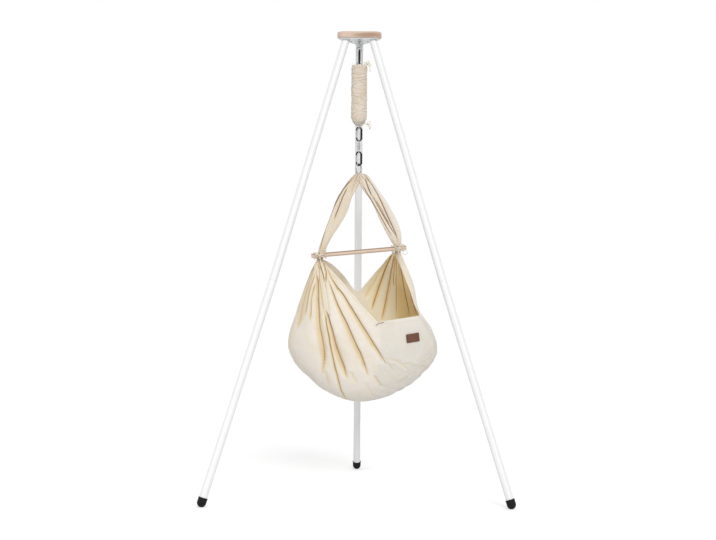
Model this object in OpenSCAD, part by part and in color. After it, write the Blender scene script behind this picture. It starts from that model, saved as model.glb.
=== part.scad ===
// Swinging cradle on a three-legged stand.
// A gathered cotton bag hangs from a sprung chain of snap hooks under a wooden head plate.
// Millimetres, +Z up, floor at z = 0. The front of the cradle faces -Y.

/* [Stand] */
// Height of the stand, from the floor to the top of the wooden plate
stand_h = 1900; // [1800:5:2100]
// Radius of the circle on which the three legs meet the floor
foot_circle_r = 700; // [640:5:780]
// Outer diameter of the leg tube
leg_d = 32; // [28:0.5:36]
// Wall of the leg tube
leg_wall = 1.5; // [1:0.1:2.5]
// Height of the plug joint between a leg's two sections
leg_joint_z = 880; // [800:5:1000]
// Distance by which the play in the plug joint lets a leg lean inwards there
leg_joint_lean = 9; // [0:0.5:10]
// Length of the plug that stands out of a leg's lower section
leg_plug_l = 55; // [40:1:60]
// Radius of the circle on which the legs meet the head
leg_top_r = 66; // [60:1:74]

/* [Feet] */
// Wall of the rubber cap around the tube
foot_wall = 2; // [1.5:0.1:4]
// Height of the rubber cap along the leg
foot_h = 38; // [30:1:50]
// Depth to which the dome of the cap is worn flat on the floor
foot_flat_depth = 0.8; // [0.5:0.1:1.5]

/* [Head] */
// Thickness of the wooden plate
plate_t = 25.5; // [22:0.5:32]
// Radius of the wooden plate's rounded corners
plate_corner_r = 34; // [30:0.5:40]
// Rounding of the wooden plate's edges
plate_edge_r = 4; // [2:0.5:6]
// Thickness of the steel bracket plate
bracket_t = 4; // [3:0.5:6]
// Width of wood that shows around the bracket plate
bracket_inset = 7; // [4:0.5:10]
// Distance from the bracket plate down to the top of a leg
leg_top_drop = 6.5; // [5.6:0.1:10]
// Length of the bracket's spigot inside a leg
spigot_l = 70; // [50:1:90]
// Shank diameter of the wood screws
screw_d = 4; // [3:0.5:5]
// Diameter of the eye bolt's shank and of its wire
eye_bolt_d = 6; // [5:0.5:7]
// Radius of the eye to the middle of its wire
eye_r = 9.5; // [9:0.5:12]

/* [Snap hooks] */
// Length of a snap hook over its wire
hook_l = 62; // [56:1:70]
// Width of a snap hook over its wire, before its back is thickened
hook_w = 24; // [22:0.5:28]
// Wire diameter of a snap hook
hook_d = 6; // [5:0.5:6.5]
// Thickness of a snap hook's back, the side opposite the gate
hook_back_d = 9; // [6:0.5:10]
// Diameter of the gate
gate_d = 5; // [4:0.5:5.5]
// Diameter of the gate's pin
gate_pin_d = 2; // [1.5:0.5:2.5]

/* [Spring] */
// Length of the coil between its end caps, with the cradle hanging on it
coil_l = 222; // [200:1:250]
// Outer diameter of the coil
coil_d = 44; // [38:1:48]
// Diameter of the spring wire
spring_wire_d = 5; // [4:0.5:5.5]
// Number of curls in the coil
coil_turns = 25; // [18:1:28]
// Radius of a spring end loop to the middle of its wire
spring_loop_r = 9.5; // [8.5:0.5:12]

/* [Sleeve] */
// Outer diameter of the ruched sleeve over its crests
sleeve_d = 70; // [62:1:76]
// Depth of the ruched folds
sleeve_fold = 4.5; // [2:0.5:6]
// Number of ruched folds down the sleeve
sleeve_folds = 22; // [16:1:26]
// Diameter of the drawstring
drawstring_d = 3; // [2:0.5:4]

/* [Swivel] */
// Wire diameter of the swivel's eyes
swivel_wire_d = 4; // [3:0.5:5]
// Radius of a swivel eye to the middle of its wire
swivel_eye_r = 6.5; // [6:0.5:8]
// Outer diameter of the swivel's barrel
swivel_barrel_d = 12; // [10:0.5:15]
// Length between the middles of the swivel's two eyes
swivel_l = 43; // [40:1:54]

/* [Cradle ring] */
// Radius of the ring to the middle of its wire
ring_r = 20; // [18:0.5:23]
// Wire diameter of the ring
ring_d = 6; // [5:0.5:7]
// Turn of the ring about the vertical away from the front
ring_turn = 58; // [55:1:65]

/* [Spreader bar and straps] */
// Length of the wooden spreader bar
bar_l = 392; // [380:1:420]
// Diameter of the wooden spreader bar
bar_d = 18; // [15:0.5:20]
// Rise of the bar from left to right
bar_tilt = 5.4; // [0:0.1:8]
// Distance between the two gathers, along the bar
gather_span = 322; // [300:1:340]
// Sideways place of the middle of the bar
bar_mid_x = 3; // [-6:1:6]
// Drop from the ring's lowest wire to the middle between the gathers
strap_drop = 324; // [300:1:350]
// Width of the flat left strap
strap_w = 62; // [48:1:70]
// Thickness of a strap's cloth, as hung
strap_t = 7; // [5:0.5:10]
// Radius of the gathered cloth where the cord ties it
gather_r = 16; // [14:0.5:18]
// Diameter of the tie cord
tie_d = 4; // [3:0.5:5]

/* [Bag] */
// Length of the bag, from its left end to its right end
bag_l = 622; // [580:1:650]
// Depth of the bag from front to back
bag_depth = 344; // [300:1:370]
// Drop from the middle between the gathers to the lowest cloth
bag_drop = 622; // [560:1:640]
// Thickness of the bag's cloth wall
bag_wall = 5; // [4:0.5:7]
// Depth of the folds that fan out of the gathers
fold_depth = 9; // [4:0.5:11]
// Number of folds across the cloth
fold_count = 9; // [7:1:11]
// Thickness of the foot panel's cloth
panel_t = 2.5; // [2:0.5:4]
// Width of the leather patch
patch_w = 54; // [40:1:60]
// Height of the leather patch
patch_h = 36; // [26:1:40]
// Thickness of the leather patch
patch_t = 1.6; // [1.2:0.1:2.5]
// Thickness of the mattress
mattress_t = 32; // [25:1:45]

/* [Fits] */
// Gap left where one piece hangs on, lies on or meets another
seat_gap = 0.3; // [0.2:0.05:0.5]
// Radial play of the plugs and spigots inside the tubes
plug_play = 1.3; // [1.1:0.05:1.8]
// Radial play of pins, screws, bolts and caps
pin_play = 0.05; // [0.05:0.01:0.2]

/* [Hidden] */
$fn = 48;

EPS = 0.01;
AZ_LEFT = 210;
AZ_RIGHT = 330;
AZ_BACK = 90;
// The origin is under the middle of the stand's floor box, so the legs' axis lies in front of it
axis_y = -foot_circle_r / 4;

// Legs: the floor point, the plug joint and the top, each as [radius, height]
leg_r = leg_d / 2;
tube_bore_r = leg_r - leg_wall;
plate_z = stand_h - plate_t;
bracket_z = plate_z - bracket_t;
leg_top_z = bracket_z - leg_top_drop;
joint_r = leg_top_r + (foot_circle_r - leg_top_r) * (leg_top_z - leg_joint_z) / leg_top_z
    - leg_joint_lean;
lower_tilt = atan((foot_circle_r - joint_r) / leg_joint_z);
upper_tilt = atan((joint_r - leg_top_r) / (leg_top_z - leg_joint_z));
lower_l = leg_joint_z / cos(lower_tilt);
upper_l = (leg_top_z - leg_joint_z) / cos(upper_tilt);
foot_r = leg_r + pin_play + foot_wall;
foot_dome_s = (foot_r - foot_flat_depth) / cos(lower_tilt);

// Chain heights: each link's top wire lies over the wire that carries it
hook_r = hook_d / 2;
back_r = hook_back_d / 2;
bend_r = (hook_w - hook_d) / 2;
hook_run = hook_l - hook_d - 2 * bend_r;
shank_l = 22;
eye_z = bracket_z - shank_l - eye_r - eye_bolt_d / 2;
eye_wire_z = eye_z - eye_r;
hook_top_z = eye_wire_z + eye_bolt_d / 2 + hook_r + seat_gap;
hook_top_low_z = hook_top_z - hook_l + hook_d;
spring_r = spring_wire_d / 2;
spring_top_z = hook_top_low_z + hook_r + spring_r + seat_gap;
cap_r = coil_d / 2 - spring_r;
cap_t = 5;
coil_top_z = spring_top_z - 2 * spring_loop_r - spring_r - cap_t;
coil_low_z = coil_top_z - coil_l;
spring_low_z = coil_low_z - cap_t - 2 * spring_loop_r - spring_r;
hook_mid_z = spring_low_z + spring_r + hook_r + seat_gap;
hook_mid_low_z = hook_mid_z - hook_l + hook_d;
swivel_r = swivel_wire_d / 2;
swivel_top_z = hook_mid_low_z + hook_r + swivel_r + seat_gap;
swivel_up_z = swivel_top_z - swivel_eye_r;
swivel_down_z = swivel_up_z - swivel_l;
swivel_low_z = swivel_down_z - swivel_eye_r;
hook_low_z = swivel_low_z + swivel_r + hook_r + seat_gap;
hook_low_low_z = hook_low_z - hook_l + hook_d;
ring_top_z = hook_low_low_z + hook_r + ring_d / 2 + seat_gap;
ring_z = ring_top_z - ring_r;
ring_low_z = ring_z - ring_r;

// Gathers and bar
gather_mid_z = ring_low_z - strap_drop;
gather_l = [bar_mid_x - gather_span / 2 * cos(bar_tilt), gather_mid_z - gather_span / 2 * sin(bar_tilt)];
gather_rt = [bar_mid_x + gather_span / 2 * cos(bar_tilt), gather_mid_z + gather_span / 2 * sin(bar_tilt)];
bar_y = -gather_r - bar_d / 2 - seat_gap - 1;
// Length of cloth below a gather that the tie holds narrow
tie_neck = 16.5;

// ---- Helpers ----

// Places children, drawn up +Z from the origin, on a leg's lower section from the floor up
module on_lower(az)
    rotate([0, 0, az]) translate([foot_circle_r, 0, 0]) rotate([0, -lower_tilt, 0]) children();

// The same for a leg's upper section, from the plug joint up
module on_upper(az)
    rotate([0, 0, az]) translate([joint_r, 0, leg_joint_z]) rotate([0, -upper_tilt, 0]) children();

// Cylinder between two heights
module rod(r, z0, z1) translate([0, 0, z0]) cylinder(r = r, h = z1 - z0);

module tube(r_out, r_in, z0, z1) difference() {
    rod(r_out, z0, z1);
    rod(r_in, z0 - 1, z1 + 1);
}

// Wire ring in the XZ plane, round the origin
module wire_ring(r, wire_r)
    rotate([90, 0, 0]) rotate_extrude() translate([r, 0]) circle(r = wire_r);

// Half of a wire ring in the XZ plane, above the origin
module wire_bend(r, wire_r)
    rotate([90, 0, 0]) rotate_extrude(angle = 180) translate([r, 0]) circle(r = wire_r);

// ---- Stand ----

module leg_lower(az) color("white") on_lower(az) {
    tube(leg_r, tube_bore_r, foot_dome_s - 2, lower_l - seat_gap / 2);
    rod(tube_bore_r + EPS, lower_l - 40, lower_l - seat_gap / 2);
    rod(tube_bore_r - plug_play, lower_l - 1, lower_l + leg_plug_l);
}

module leg_upper(az) color("white") on_upper(az)
    tube(leg_r, tube_bore_r, seat_gap, upper_l - seat_gap);

module foot(az) color("#202020") intersection() {
    on_lower(az) difference() {
        union() {
            translate([0, 0, foot_dome_s]) sphere(r = foot_r);
            rod(foot_r, foot_dome_s, foot_h);
            rod(foot_r + 0.7, foot_h - 3, foot_h);
        }
        rod(leg_r + pin_play, foot_dome_s - 2 - pin_play, foot_h + 1);
    }
    rotate([0, 0, az]) translate([foot_circle_r - foot_h, -foot_h, 0]) cube(2 * foot_h);
}

// The wooden plate before it is bored: round corners, and edges rounded in three facets
module plate_blank() hull() for (az = [AZ_LEFT, AZ_RIGHT, AZ_BACK])
    rotate([0, 0, az]) translate([leg_top_r, 0, 0]) for (a = [0, 30, 60, 90]) {
        inset = plate_edge_r * (1 - cos(a));
        drop = plate_edge_r * (1 - sin(a));
        translate([0, 0, plate_z + drop]) cylinder(r = plate_corner_r - inset, h = plate_t - 2 * drop, $fn = 32);
    }

nut_pocket_r = 11;
nut_pocket_h = 13;
screw_l = 16;
module at_screws() for (az = [AZ_LEFT, AZ_RIGHT, AZ_BACK])
    rotate([0, 0, az + 60]) translate([leg_top_r * 0.6, 0, 0]) children();

module top_plate() color("burlywood") difference() {
    plate_blank();
    rod(nut_pocket_r, plate_z - 1, plate_z + nut_pocket_h);
    at_screws() rod(screw_d / 2 + pin_play, plate_z - 1, plate_z + screw_l + 0.5);
}

module head_bracket() color("gainsboro") difference() {
    union() {
        translate([0, 0, bracket_z]) bracket_outline(bracket_t - pin_play);
        intersection() {
            for (az = [AZ_LEFT, AZ_RIGHT, AZ_BACK]) on_upper(az) {
                rod(leg_r, upper_l, upper_l + 2 * leg_top_drop + 6);
                rod(tube_bore_r - plug_play, upper_l - spigot_l, upper_l + 1);
            }
            rod(leg_top_r + 2 * leg_r, leg_joint_z, bracket_z + EPS);
        }
    }
    rod(eye_bolt_d / 2 + pin_play, bracket_z - 1, plate_z + 1);
    at_screws() rod(screw_d / 2 + pin_play, bracket_z - 1, plate_z + 1);
}

// The bracket plate: a triangle whose corners are rounded in short straight steps
module bracket_outline(h) linear_extrude(h) polygon([
    for (az = [AZ_BACK, AZ_LEFT, AZ_RIGHT], a = [-60:7.5:60])
        leg_top_r * [cos(az), sin(az)] + (plate_corner_r - bracket_inset) * [cos(az + a), sin(az + a)]]);

module head_screws() color("silver") at_screws() {
    rod(screw_d / 2, bracket_z - 1, plate_z + screw_l);
    rod(screw_d, bracket_z - pin_play - 2, bracket_z - pin_play);
}

module eye_bolt() color("silver") {
    translate([0, 0, eye_z]) wire_ring(eye_r, eye_bolt_d / 2);
    rod(eye_bolt_d / 2, eye_z + eye_r, plate_z + nut_pocket_h - 2);
    rod(eye_bolt_d, bracket_z - pin_play - 3, bracket_z - pin_play);
}

washer_t = 1.6;
nut_h = 6;
module eye_nut() color("silver") difference() {
    union() {
        rod(eye_bolt_d * 1.4, plate_z + pin_play, plate_z + washer_t);
        translate([0, 0, plate_z + washer_t - EPS]) cylinder(r = eye_bolt_d * 0.95, h = nut_h, $fn = 6);
    }
    rod(eye_bolt_d / 2 + pin_play, plate_z - 1, plate_z + nut_pocket_h);
}

// ---- Snap hooks ----
// A hook hangs in its own XZ plane with the middle of its top wire at the origin.
// The spine is at +X and the gate at -X.

hook_bend_top = -bend_r;
hook_bend_low = -bend_r - hook_run;
stub_l = 5;
gate_pivot_z = hook_bend_low + stub_l - 1.5;
gate_slot_w = 1.6;
// The gate's foot clears the stub below it when the gate is open
gate_open = 20;
gate_foot_z = gate_pivot_z
    + (hook_bend_low + stub_l - gate_pivot_z + seat_gap + gate_d / 2 * sin(gate_open)) / cos(gate_open);

module hook_body() color("#181818") difference() {
    union() {
        translate([0, 0, hook_bend_top]) wire_bend(bend_r, hook_r);
        translate([0, 0, hook_bend_low]) mirror([0, 0, 1]) wire_bend(bend_r, hook_r);
        translate([bend_r - hook_r + back_r, 0, 0]) {
            rod(back_r, hook_bend_low, hook_bend_top);
            for (z = [hook_bend_low, hook_bend_top]) translate([0, 0, z]) sphere(r = back_r);
        }
        translate([-bend_r, 0, 0]) rod(hook_r, hook_bend_low, hook_bend_low + stub_l);
        translate([-bend_r, 0, 0]) rod(hook_r, hook_bend_top - stub_l, hook_bend_top);
    }
    // slot for the gate's tongue, and the pin's hole
    translate([-bend_r - hook_r - 1, -gate_slot_w / 2 - 0.1, gate_pivot_z - 2])
        cube([2 * hook_r + 2, gate_slot_w + 0.2, stub_l]);
    translate([-bend_r, 0, gate_pivot_z]) rotate([90, 0, 0]) translate([0, 0, -hook_r - 1])
        cylinder(r = gate_pin_d / 2 + pin_play, h = 2 * hook_r + 2);
}

module hook_gate() color("silver") translate([-bend_r, 0, 0]) difference() {
    union() {
        rod(gate_d / 2, gate_foot_z, hook_bend_top - stub_l - 0.4);
        translate([0, gate_slot_w / 2, gate_pivot_z]) rotate([90, 0, 0]) cylinder(r = 1.8, h = gate_slot_w);
        translate([-1.8, -gate_slot_w / 2, gate_pivot_z]) cube([3.6, gate_slot_w, 4]);
    }
    translate([0, 0, gate_pivot_z]) rotate([90, 0, 0]) translate([0, 0, -hook_r])
        cylinder(r = gate_pin_d / 2 + pin_play, h = 2 * hook_r);
}

module hook_pin() color("silver") translate([-bend_r, hook_r - 0.2, gate_pivot_z])
    rotate([90, 0, 0]) cylinder(r = gate_pin_d / 2, h = 2 * hook_r - 0.4);

module at_top_hook() translate([0, 0, hook_top_z]) rotate([0, 0, -90]) children();
module at_mid_hook() translate([0, 0, hook_mid_z]) children();
module at_low_hook() translate([0, 0, hook_low_z]) children();

// ---- Spring and sleeve ----

// A loop of wire with the cap that closes an end of the coil below it
module spring_end() color("silver") {
    translate([0, 0, -spring_loop_r]) wire_ring(spring_loop_r, spring_r);
    rod(cap_r, -2 * spring_loop_r - spring_r - cap_t, -2 * spring_loop_r - spring_r + 1);
}

module spring_end_top() translate([0, 0, spring_top_z]) spring_end();
module spring_end_low() translate([0, 0, spring_low_z]) rotate([0, 0, 90]) mirror([0, 0, 1]) spring_end();

// Tube of the given radius along points, as one polyhedron; ends square to the first and last step
function unit(v) = v / norm(v);
function side_of(d) = unit(cross(d, abs(d.z) < 0.9 ? [0, 0, 1] : [0, 1, 0]));
module swept_tube(points, r, sides) {
    n = len(points);
    dirs = [for (i = [0:n - 1]) unit(points[min(i + 1, n - 1)] - points[max(i - 1, 0)])];
    rings = [for (i = [0:n - 1]) let (a = side_of(dirs[i]), b = cross(dirs[i], a))
        for (k = [0:sides - 1]) points[i] + r * (cos(360 * k / sides) * a + sin(360 * k / sides) * b)];
    loft_solid(rings, n, sides);
}

// Closed solid through n rings of m points each
module loft_solid(rings, n, m) {
    ends = [rings_mid(rings, 0, m), rings_mid(rings, (n - 1) * m, m)];
    polyhedron(points = concat(rings, ends), faces = concat(
        [for (i = [0:n - 2], k = [0:m - 1]) let (k2 = (k + 1) % m) [i * m + k, (i + 1) * m + k2, i * m + k2]],
        [for (i = [0:n - 2], k = [0:m - 1]) let (k2 = (k + 1) % m)
            [i * m + k, (i + 1) * m + k, (i + 1) * m + k2]],
        [for (k = [0:m - 1]) [n * m, k, (k + 1) % m]],
        [for (k = [0:m - 1]) [n * m + 1, (n - 1) * m + (k + 1) % m, (n - 1) * m + k]]), convexity = 6);
}
function rings_mid(p, from, m, i = 0) =
    i == m ? [0, 0, 0] : p[from + i] / m + rings_mid(p, from, m, i + 1);

coil_mid_r = coil_d / 2 - spring_r;
coil_pitch = (coil_l - spring_wire_d - 2 * seat_gap) / coil_turns;
CURL_RINGS = 8;
CURL_SIDES = 6;
coil_points = [for (i = [0:coil_turns * CURL_RINGS]) let (a = 360 * i / CURL_RINGS)
    [coil_mid_r * cos(a), coil_mid_r * sin(a),
        coil_low_z + spring_r + seat_gap + coil_pitch * i / CURL_RINGS]];
// Least gap between one curl and the next, wire to wire
coil_gap = min([for (i = [0:CURL_RINGS]) norm(coil_points[i + CURL_RINGS] - coil_points[i])
    - spring_wire_d]);
echo(least_coil_gap = coil_gap);

module spring_coil() color("silver") swept_tube(coil_points, spring_r, CURL_SIDES);

sleeve_r = sleeve_d / 2;
sleeve_bore_r = coil_d / 2 + 0.7;
sleeve_top_z = coil_top_z + cap_t + 6;
sleeve_low_z = coil_low_z - cap_t - 8;
sleeve_neck = 24;
SLEEVE_STEPS = 4;
// Outer radius of the sleeve at height z: ruffled, and drawn in towards the foot
function sleeve_out(z) = let (from_low = (z - sleeve_low_z) / sleeve_neck,
    drawn = from_low >= 1 ? 0 : (sleeve_r - 16) * pow(1 - from_low, 2))
    max(sleeve_r - drawn - sleeve_fold * (0.5 - 0.5 * cos(360 * sleeve_folds * (z - sleeve_low_z)
        / (sleeve_top_z - sleeve_low_z))), 13);

module spring_sleeve() color("bisque") {
    n = sleeve_folds * SLEEVE_STEPS;
    outer = [for (i = [0:n]) let (z = sleeve_low_z + (sleeve_top_z - sleeve_low_z) * i / n) [sleeve_out(z), z]];
    rotate_extrude() polygon(concat(outer, [
        [sleeve_bore_r, sleeve_top_z], [sleeve_bore_r, coil_low_z - cap_t + 6],
        [cap_r + 0.7, coil_low_z - cap_t - 2], [spring_loop_r + spring_r, sleeve_low_z]]));
}

// ---- Swivel and ring ----

swivel_gap_z = swivel_up_z - swivel_l / 2;
module swivel_upper() color("silver") {
    translate([0, 0, swivel_up_z]) rotate([0, 0, 90]) wire_ring(swivel_eye_r, swivel_r);
    rod(swivel_r, swivel_gap_z - 4, swivel_up_z - swivel_eye_r);
    rod(swivel_barrel_d / 2, swivel_gap_z + seat_gap, swivel_up_z - swivel_eye_r - swivel_r + 1);
    rod(swivel_r + 1.6, swivel_gap_z - 6.5, swivel_gap_z - 4);
}

module swivel_lower() color("silver") {
    translate([0, 0, swivel_down_z]) rotate([0, 0, 90]) wire_ring(swivel_eye_r, swivel_r);
    difference() {
        rod(swivel_barrel_d / 2, swivel_down_z + swivel_eye_r + swivel_r - 1, swivel_gap_z);
        rod(swivel_r + 0.1, swivel_gap_z - 5, swivel_gap_z + 1);
        rod(swivel_r + 1.6 + 0.2, swivel_gap_z - 7.5, swivel_gap_z - 4 + 0.3);
    }
}

module cradle_ring() color("silver") translate([0, 0, ring_z]) rotate([0, 0, ring_turn])
    wire_ring(ring_r, ring_d / 2);

// ---- Straps and bar ----

function mix(a, b, t) = a + (b - a) * t;
function at_xz(p, y = 0) = [p.x, y, p.y];

STRAP_RINGS = 14;
STRAP_SIDES = 16;
STRAP_TOP_W = 18;
loop_w = 10;
loop_wall = 3.5;
loop_rise = ring_r - sqrt(ring_r * ring_r - loop_w * loop_w / 4);
loop_bore_r = ring_d / 2 + loop_rise / 2 + seat_gap;
loop_z = ring_low_z + loop_rise / 2;
// Strap from its top to a gather: a band whose section may be folded into waves.
// bow bends it outwards, most at bend_at of its length, wide is its full width, wave and waves are the depth and number of folds.
module strap(side, top, gather, wide, bow, bend_at, wave, waves) {
    low = gather - [-side * 3, tie_neck];
    along = unit([low.x - top.x, low.y - top.y]);
    out = side * [-along.y, along.x];
    bend = mix(top, low, bend_at) + out * 2 * bow;
    rings = [for (i = [0:STRAP_RINGS]) let (
            f = i / STRAP_RINGS,
            mid = mix(mix(top, bend, f), mix(bend, low, f), f),
            broad = pow(sin(180 * pow(f, 0.85)), 1.4),
            w = mix(mix(STRAP_TOP_W, 1.55 * gather_r, f), wide, broad),
            t = mix(mix(11, 1.7 * gather_r, pow(f, 4)), strap_t, broad),
            across = -unit(mix([-along.y, along.x], [1, 0], pow(f, 3))))
        for (k = [0:STRAP_SIDES - 1]) let (
            c = cos(360 * k / STRAP_SIDES), s = sin(360 * k / STRAP_SIDES),
            p = mid + across * c * w / 2)
        [p.x, t / 2 * s + wave * broad * cos(180 * waves * c), p.y]];
    loft_solid(rings, STRAP_RINGS + 1, STRAP_SIDES);
}

// The cloth loop that lies over the ring's lowest wire
module strap_loop() translate([0, 0, loop_z]) rotate([0, 0, ring_turn])
    rotate([0, 90, 0]) difference() {
        rod(loop_bore_r + loop_wall, -loop_w / 2, loop_w / 2);
        rod(loop_bore_r, -loop_w, loop_w);
    }

module strap_left() color("antiquewhite") {
    strap_loop();
    strap(-1, [-3, loop_z - loop_bore_r - 1], gather_l, strap_w, 10, 0.5, 0, 0);
}
module strap_right() color("antiquewhite")
    strap(1, [14, loop_z - loop_bore_r - 7], gather_rt, strap_w * 0.85, 22, 0.62, 7, 3);

module spreader_bar() color("burlywood")
    translate([bar_mid_x, bar_y, gather_mid_z]) rotate([0, 90 - bar_tilt, 0]) rotate_extrude() polygon([
        [0, -bar_l / 2], [bar_d / 2 - 1, -bar_l / 2], [bar_d / 2, -bar_l / 2 + 1],
        [bar_d / 2, bar_l / 2 - 1], [bar_d / 2 - 1, bar_l / 2], [0, bar_l / 2]]);

// ---- Ties ----

tie_r = tie_d / 2;
// Half width of a tie's turns, how far they pass over and under the bar's axis, and how far the
// second turn stands off the first where they cross
tie_half_w = gather_r + tie_r + 6;
tie_rise = bar_d / 2 + tie_r + 3.5;
turn_step = tie_d + 0.8;
tie_front_y = bar_y - bar_d / 2 - tie_r - 1.4;

// Closed tube of the given radius round a ring of points, as one polyhedron
module closed_tube(points, r, sides) {
    n = len(points);
    rings = [for (i = [0:n - 1]) let (d = unit(points[(i + 1) % n] - points[(i + n - 1) % n]),
            a = unit(cross(d, tube_up)), b = cross(d, a))
        for (k = [0:sides - 1]) points[i] + r * (cos(360 * k / sides) * a + sin(360 * k / sides) * b)];
    polyhedron(points = rings, faces = [for (i = [0:n - 1], k = [0:sides - 1])
        let (j = (i + 1) % n, k2 = (k + 1) % sides)
        each [[i * sides + k, j * sides + k2, i * sides + k2], [i * sides + k, j * sides + k, j * sides + k2]]],
        convexity = 4);
}
// No closed tube here ever runs along this direction
tube_up = unit([0.05, 0.9, 1.7]);

// One turn of cord round the gathered cloth and the bar: level behind the cloth, over the bar at
// one side and under it at the other. over lifts it clear of the turn that it crosses.
TURN_RINGS = 12;
module tie_turn(way, over) {
    front = tie_front_y - over + tie_half_w;
    closed_tube([for (end = [0, 1], i = [0:TURN_RINGS - 1]) let (
            a = 180 * i / (TURN_RINGS - 1) + 180 * end,
            y = tie_half_w * sin(a) + (end == 0 ? over : front),
            climb = max(0, min(1, (tie_half_w - y) / (tie_half_w - bar_y - bar_d / 2))))
        [tie_half_w * cos(a), y, way * tie_rise * climb * cos(a)]], tie_r, 6);
}

// One loop of the bow, an ellipse that starts at the knot
BOW_RINGS = 14;
bow_l = 20;
bow_w = 12;
module bow_loop(knot_r) closed_tube([for (i = [0:BOW_RINGS - 1]) let (a = 360 * i / BOW_RINGS)
    [bow_w / 2 * sin(a), 0, knot_r + tie_r + seat_gap + bow_l / 2 * (1 - cos(a))]], tie_r * 0.8, 6);

// Cord tie with its knot and the two loops of its bow, each turned from upright round the knot
knot_r = tie_d * 1.1;
module tie(gather, bow_a, bow_b) color("ivory") translate(at_xz(gather)) rotate([0, -bar_tilt, 0]) {
    tie_turn(1, 0);
    tie_turn(-1, turn_step);
    translate([0, tie_front_y - turn_step - tie_r - seat_gap - knot_r, 0]) {
        sphere(r = knot_r);
        for (a = [bow_a, bow_b]) rotate([0, a, 0]) bow_loop(knot_r);
    }
}
module tie_left() tie(gather_l, 20, 100);
module tie_right() tie(gather_rt, 45, 130);

// ---- Bag ----
// The cloth hangs from gather to gather. Each row follows one station along it, and its columns
// give the lowest cloth, the front rim and the back rim as [along, down], and the half depth.
// along is -1 at the left end and 1 at the right end, down is 0 at the gathers and 1 at the lowest cloth.
BAG_KEYS = [
    [[-0.72, 0.15], [-0.47, 0.10], [-0.43, 0.08], 0.30],
    [[-0.90, 0.41], [-0.31, 0.18], [-0.30, 0.14], 0.62],
    [[-1.00, 0.62], [-0.17, 0.26], [-0.22, 0.19], 0.88],
    [[-0.82, 0.79], [-0.03, 0.34], [-0.15, 0.24], 0.98],
    [[-0.37, 0.96], [0.10, 0.41], [-0.10, 0.26], 1.00],
    [[0.12, 0.99], [0.21, 0.46], [-0.05, 0.26], 1.00],
    [[0.62, 0.88], [0.41, 0.46], [0.02, 0.22], 1.00],
    [[0.97, 0.69], [0.58, 0.44], [0.12, 0.16], 0.95],
    [[0.92, 0.52], [0.73, 0.42], [0.23, 0.10], 0.80],
    [[0.74, 0.38], [0.67, 0.34], [0.31, 0.05], 0.50],
    [[0.66, 0.20], [0.57, 0.20], [0.38, 0.01], 0.28]];
BAG_STATIONS = len(BAG_KEYS) + 1;
bag_mid_x = 23;
bundle_r = gather_r * 0.8;
function bag_xz(p) = [bag_mid_x + p.x * bag_l / 2, gather_mid_z - p.y * bag_drop];
// Rows as flat lists [low x, low z, front x, front z, back x, back z, half depth] in millimetres
function gather_row(g, side) = let (z = g.y - tie_neck - seat_gap)
    [g.x + side * bundle_r, z, g.x - side * bundle_r, z, g.x - side * bundle_r, z, bundle_r];
bag_rows = concat([gather_row(gather_l, -1)],
    [for (k = BAG_KEYS) concat(bag_xz(k[0]), bag_xz(k[1]), bag_xz(k[2]), [k[3] * bag_depth / 2])],
    [gather_row(gather_rt, 1)]);

// Smooth curve through the rows at station u
function row_at(rows, u) = let (n = len(rows), i = min(floor(u), n - 2), t = u - i,
        p0 = rows[max(i - 1, 0)], p1 = rows[i], p2 = rows[i + 1], p3 = rows[min(i + 2, n - 1)])
    0.5 * (2 * p1 + (p2 - p0) * t + (2 * p0 - 5 * p1 + 4 * p2 - p3) * t * t
        + (3 * p1 - p0 - 3 * p2 + p3) * t * t * t);

// How strongly the folds show at station u: deep near the gathers, gone in the middle
function fold_show(u) = let (e = min(u, (BAG_STATIONS - u) * 1.15))
    e < 0.8 ? 0.15 + e * 1.06 : max(0, 1 - (e - 0.8) / 3.6);

// Point of the cloth's outer face: u runs from gather to gather, s from the front rim at -1
// over the lowest cloth at 0 to the back rim at 1. off moves it inwards.
function bag_point(u, s, off) = let (
        r = row_at(bag_rows, u),
        low = [r[0], 0, r[1]],
        rim = s < 0 ? [r[2], 0, r[3]] : [r[4], 0, r[5]],
        middle = [(r[2] + r[4]) / 2, 0, (r[3] + r[5]) / 2],
        p = mix(low, rim, 1 - cos(90 * s)) + [0, r[6] * sin(90 * s), 0],
        inward = unit(middle - p),
        fold = fold_depth * fold_show(u) * (0.5 - 0.5 * cos(180 * fold_count * (s + 1))))
    p + inward * (off + fold);

FOLD_STEPS = 4;
ROW_STEPS = 16;
s_steps = fold_count * FOLD_STEPS;
function bag_u(i) = BAG_STATIONS * i / ROW_STEPS;
function bag_s(k) = -1 + 2 * k / s_steps;
function bag_grid(i0, i1, k0, k1, off) =
    [for (i = [i0:i1], k = [k0:k1]) bag_point(bag_u(i), bag_s(k), off)];

// Closed sheet between two grids of nu rows and ns columns
module sheet_solid(outer, inner, nu, ns) {
    n = nu * ns;
    function quad(a, b, c, d) = [[a, b, c], [a, c, d]];
    polyhedron(points = concat(outer, inner), faces = [for (q = concat(
        [for (i = [0:nu - 2], k = [0:ns - 2]) let (a = i * ns + k)
            each [quad(a, a + 1, a + ns + 1, a + ns), quad(n + a, n + a + ns, n + a + ns + 1, n + a + 1)]],
        [for (i = [0:nu - 2]) let (a = i * ns, b = i * ns + ns - 1)
            each [quad(a, a + ns, n + a + ns, n + a), quad(b + ns, b, n + b, n + b + ns)]],
        [for (k = [0:ns - 2]) let (a = k, b = (nu - 1) * ns + k)
            each [quad(a + 1, a, n + a, n + a + 1), quad(b, b + 1, n + b + 1, n + b)]])) each q],
        convexity = 8);
}

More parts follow.
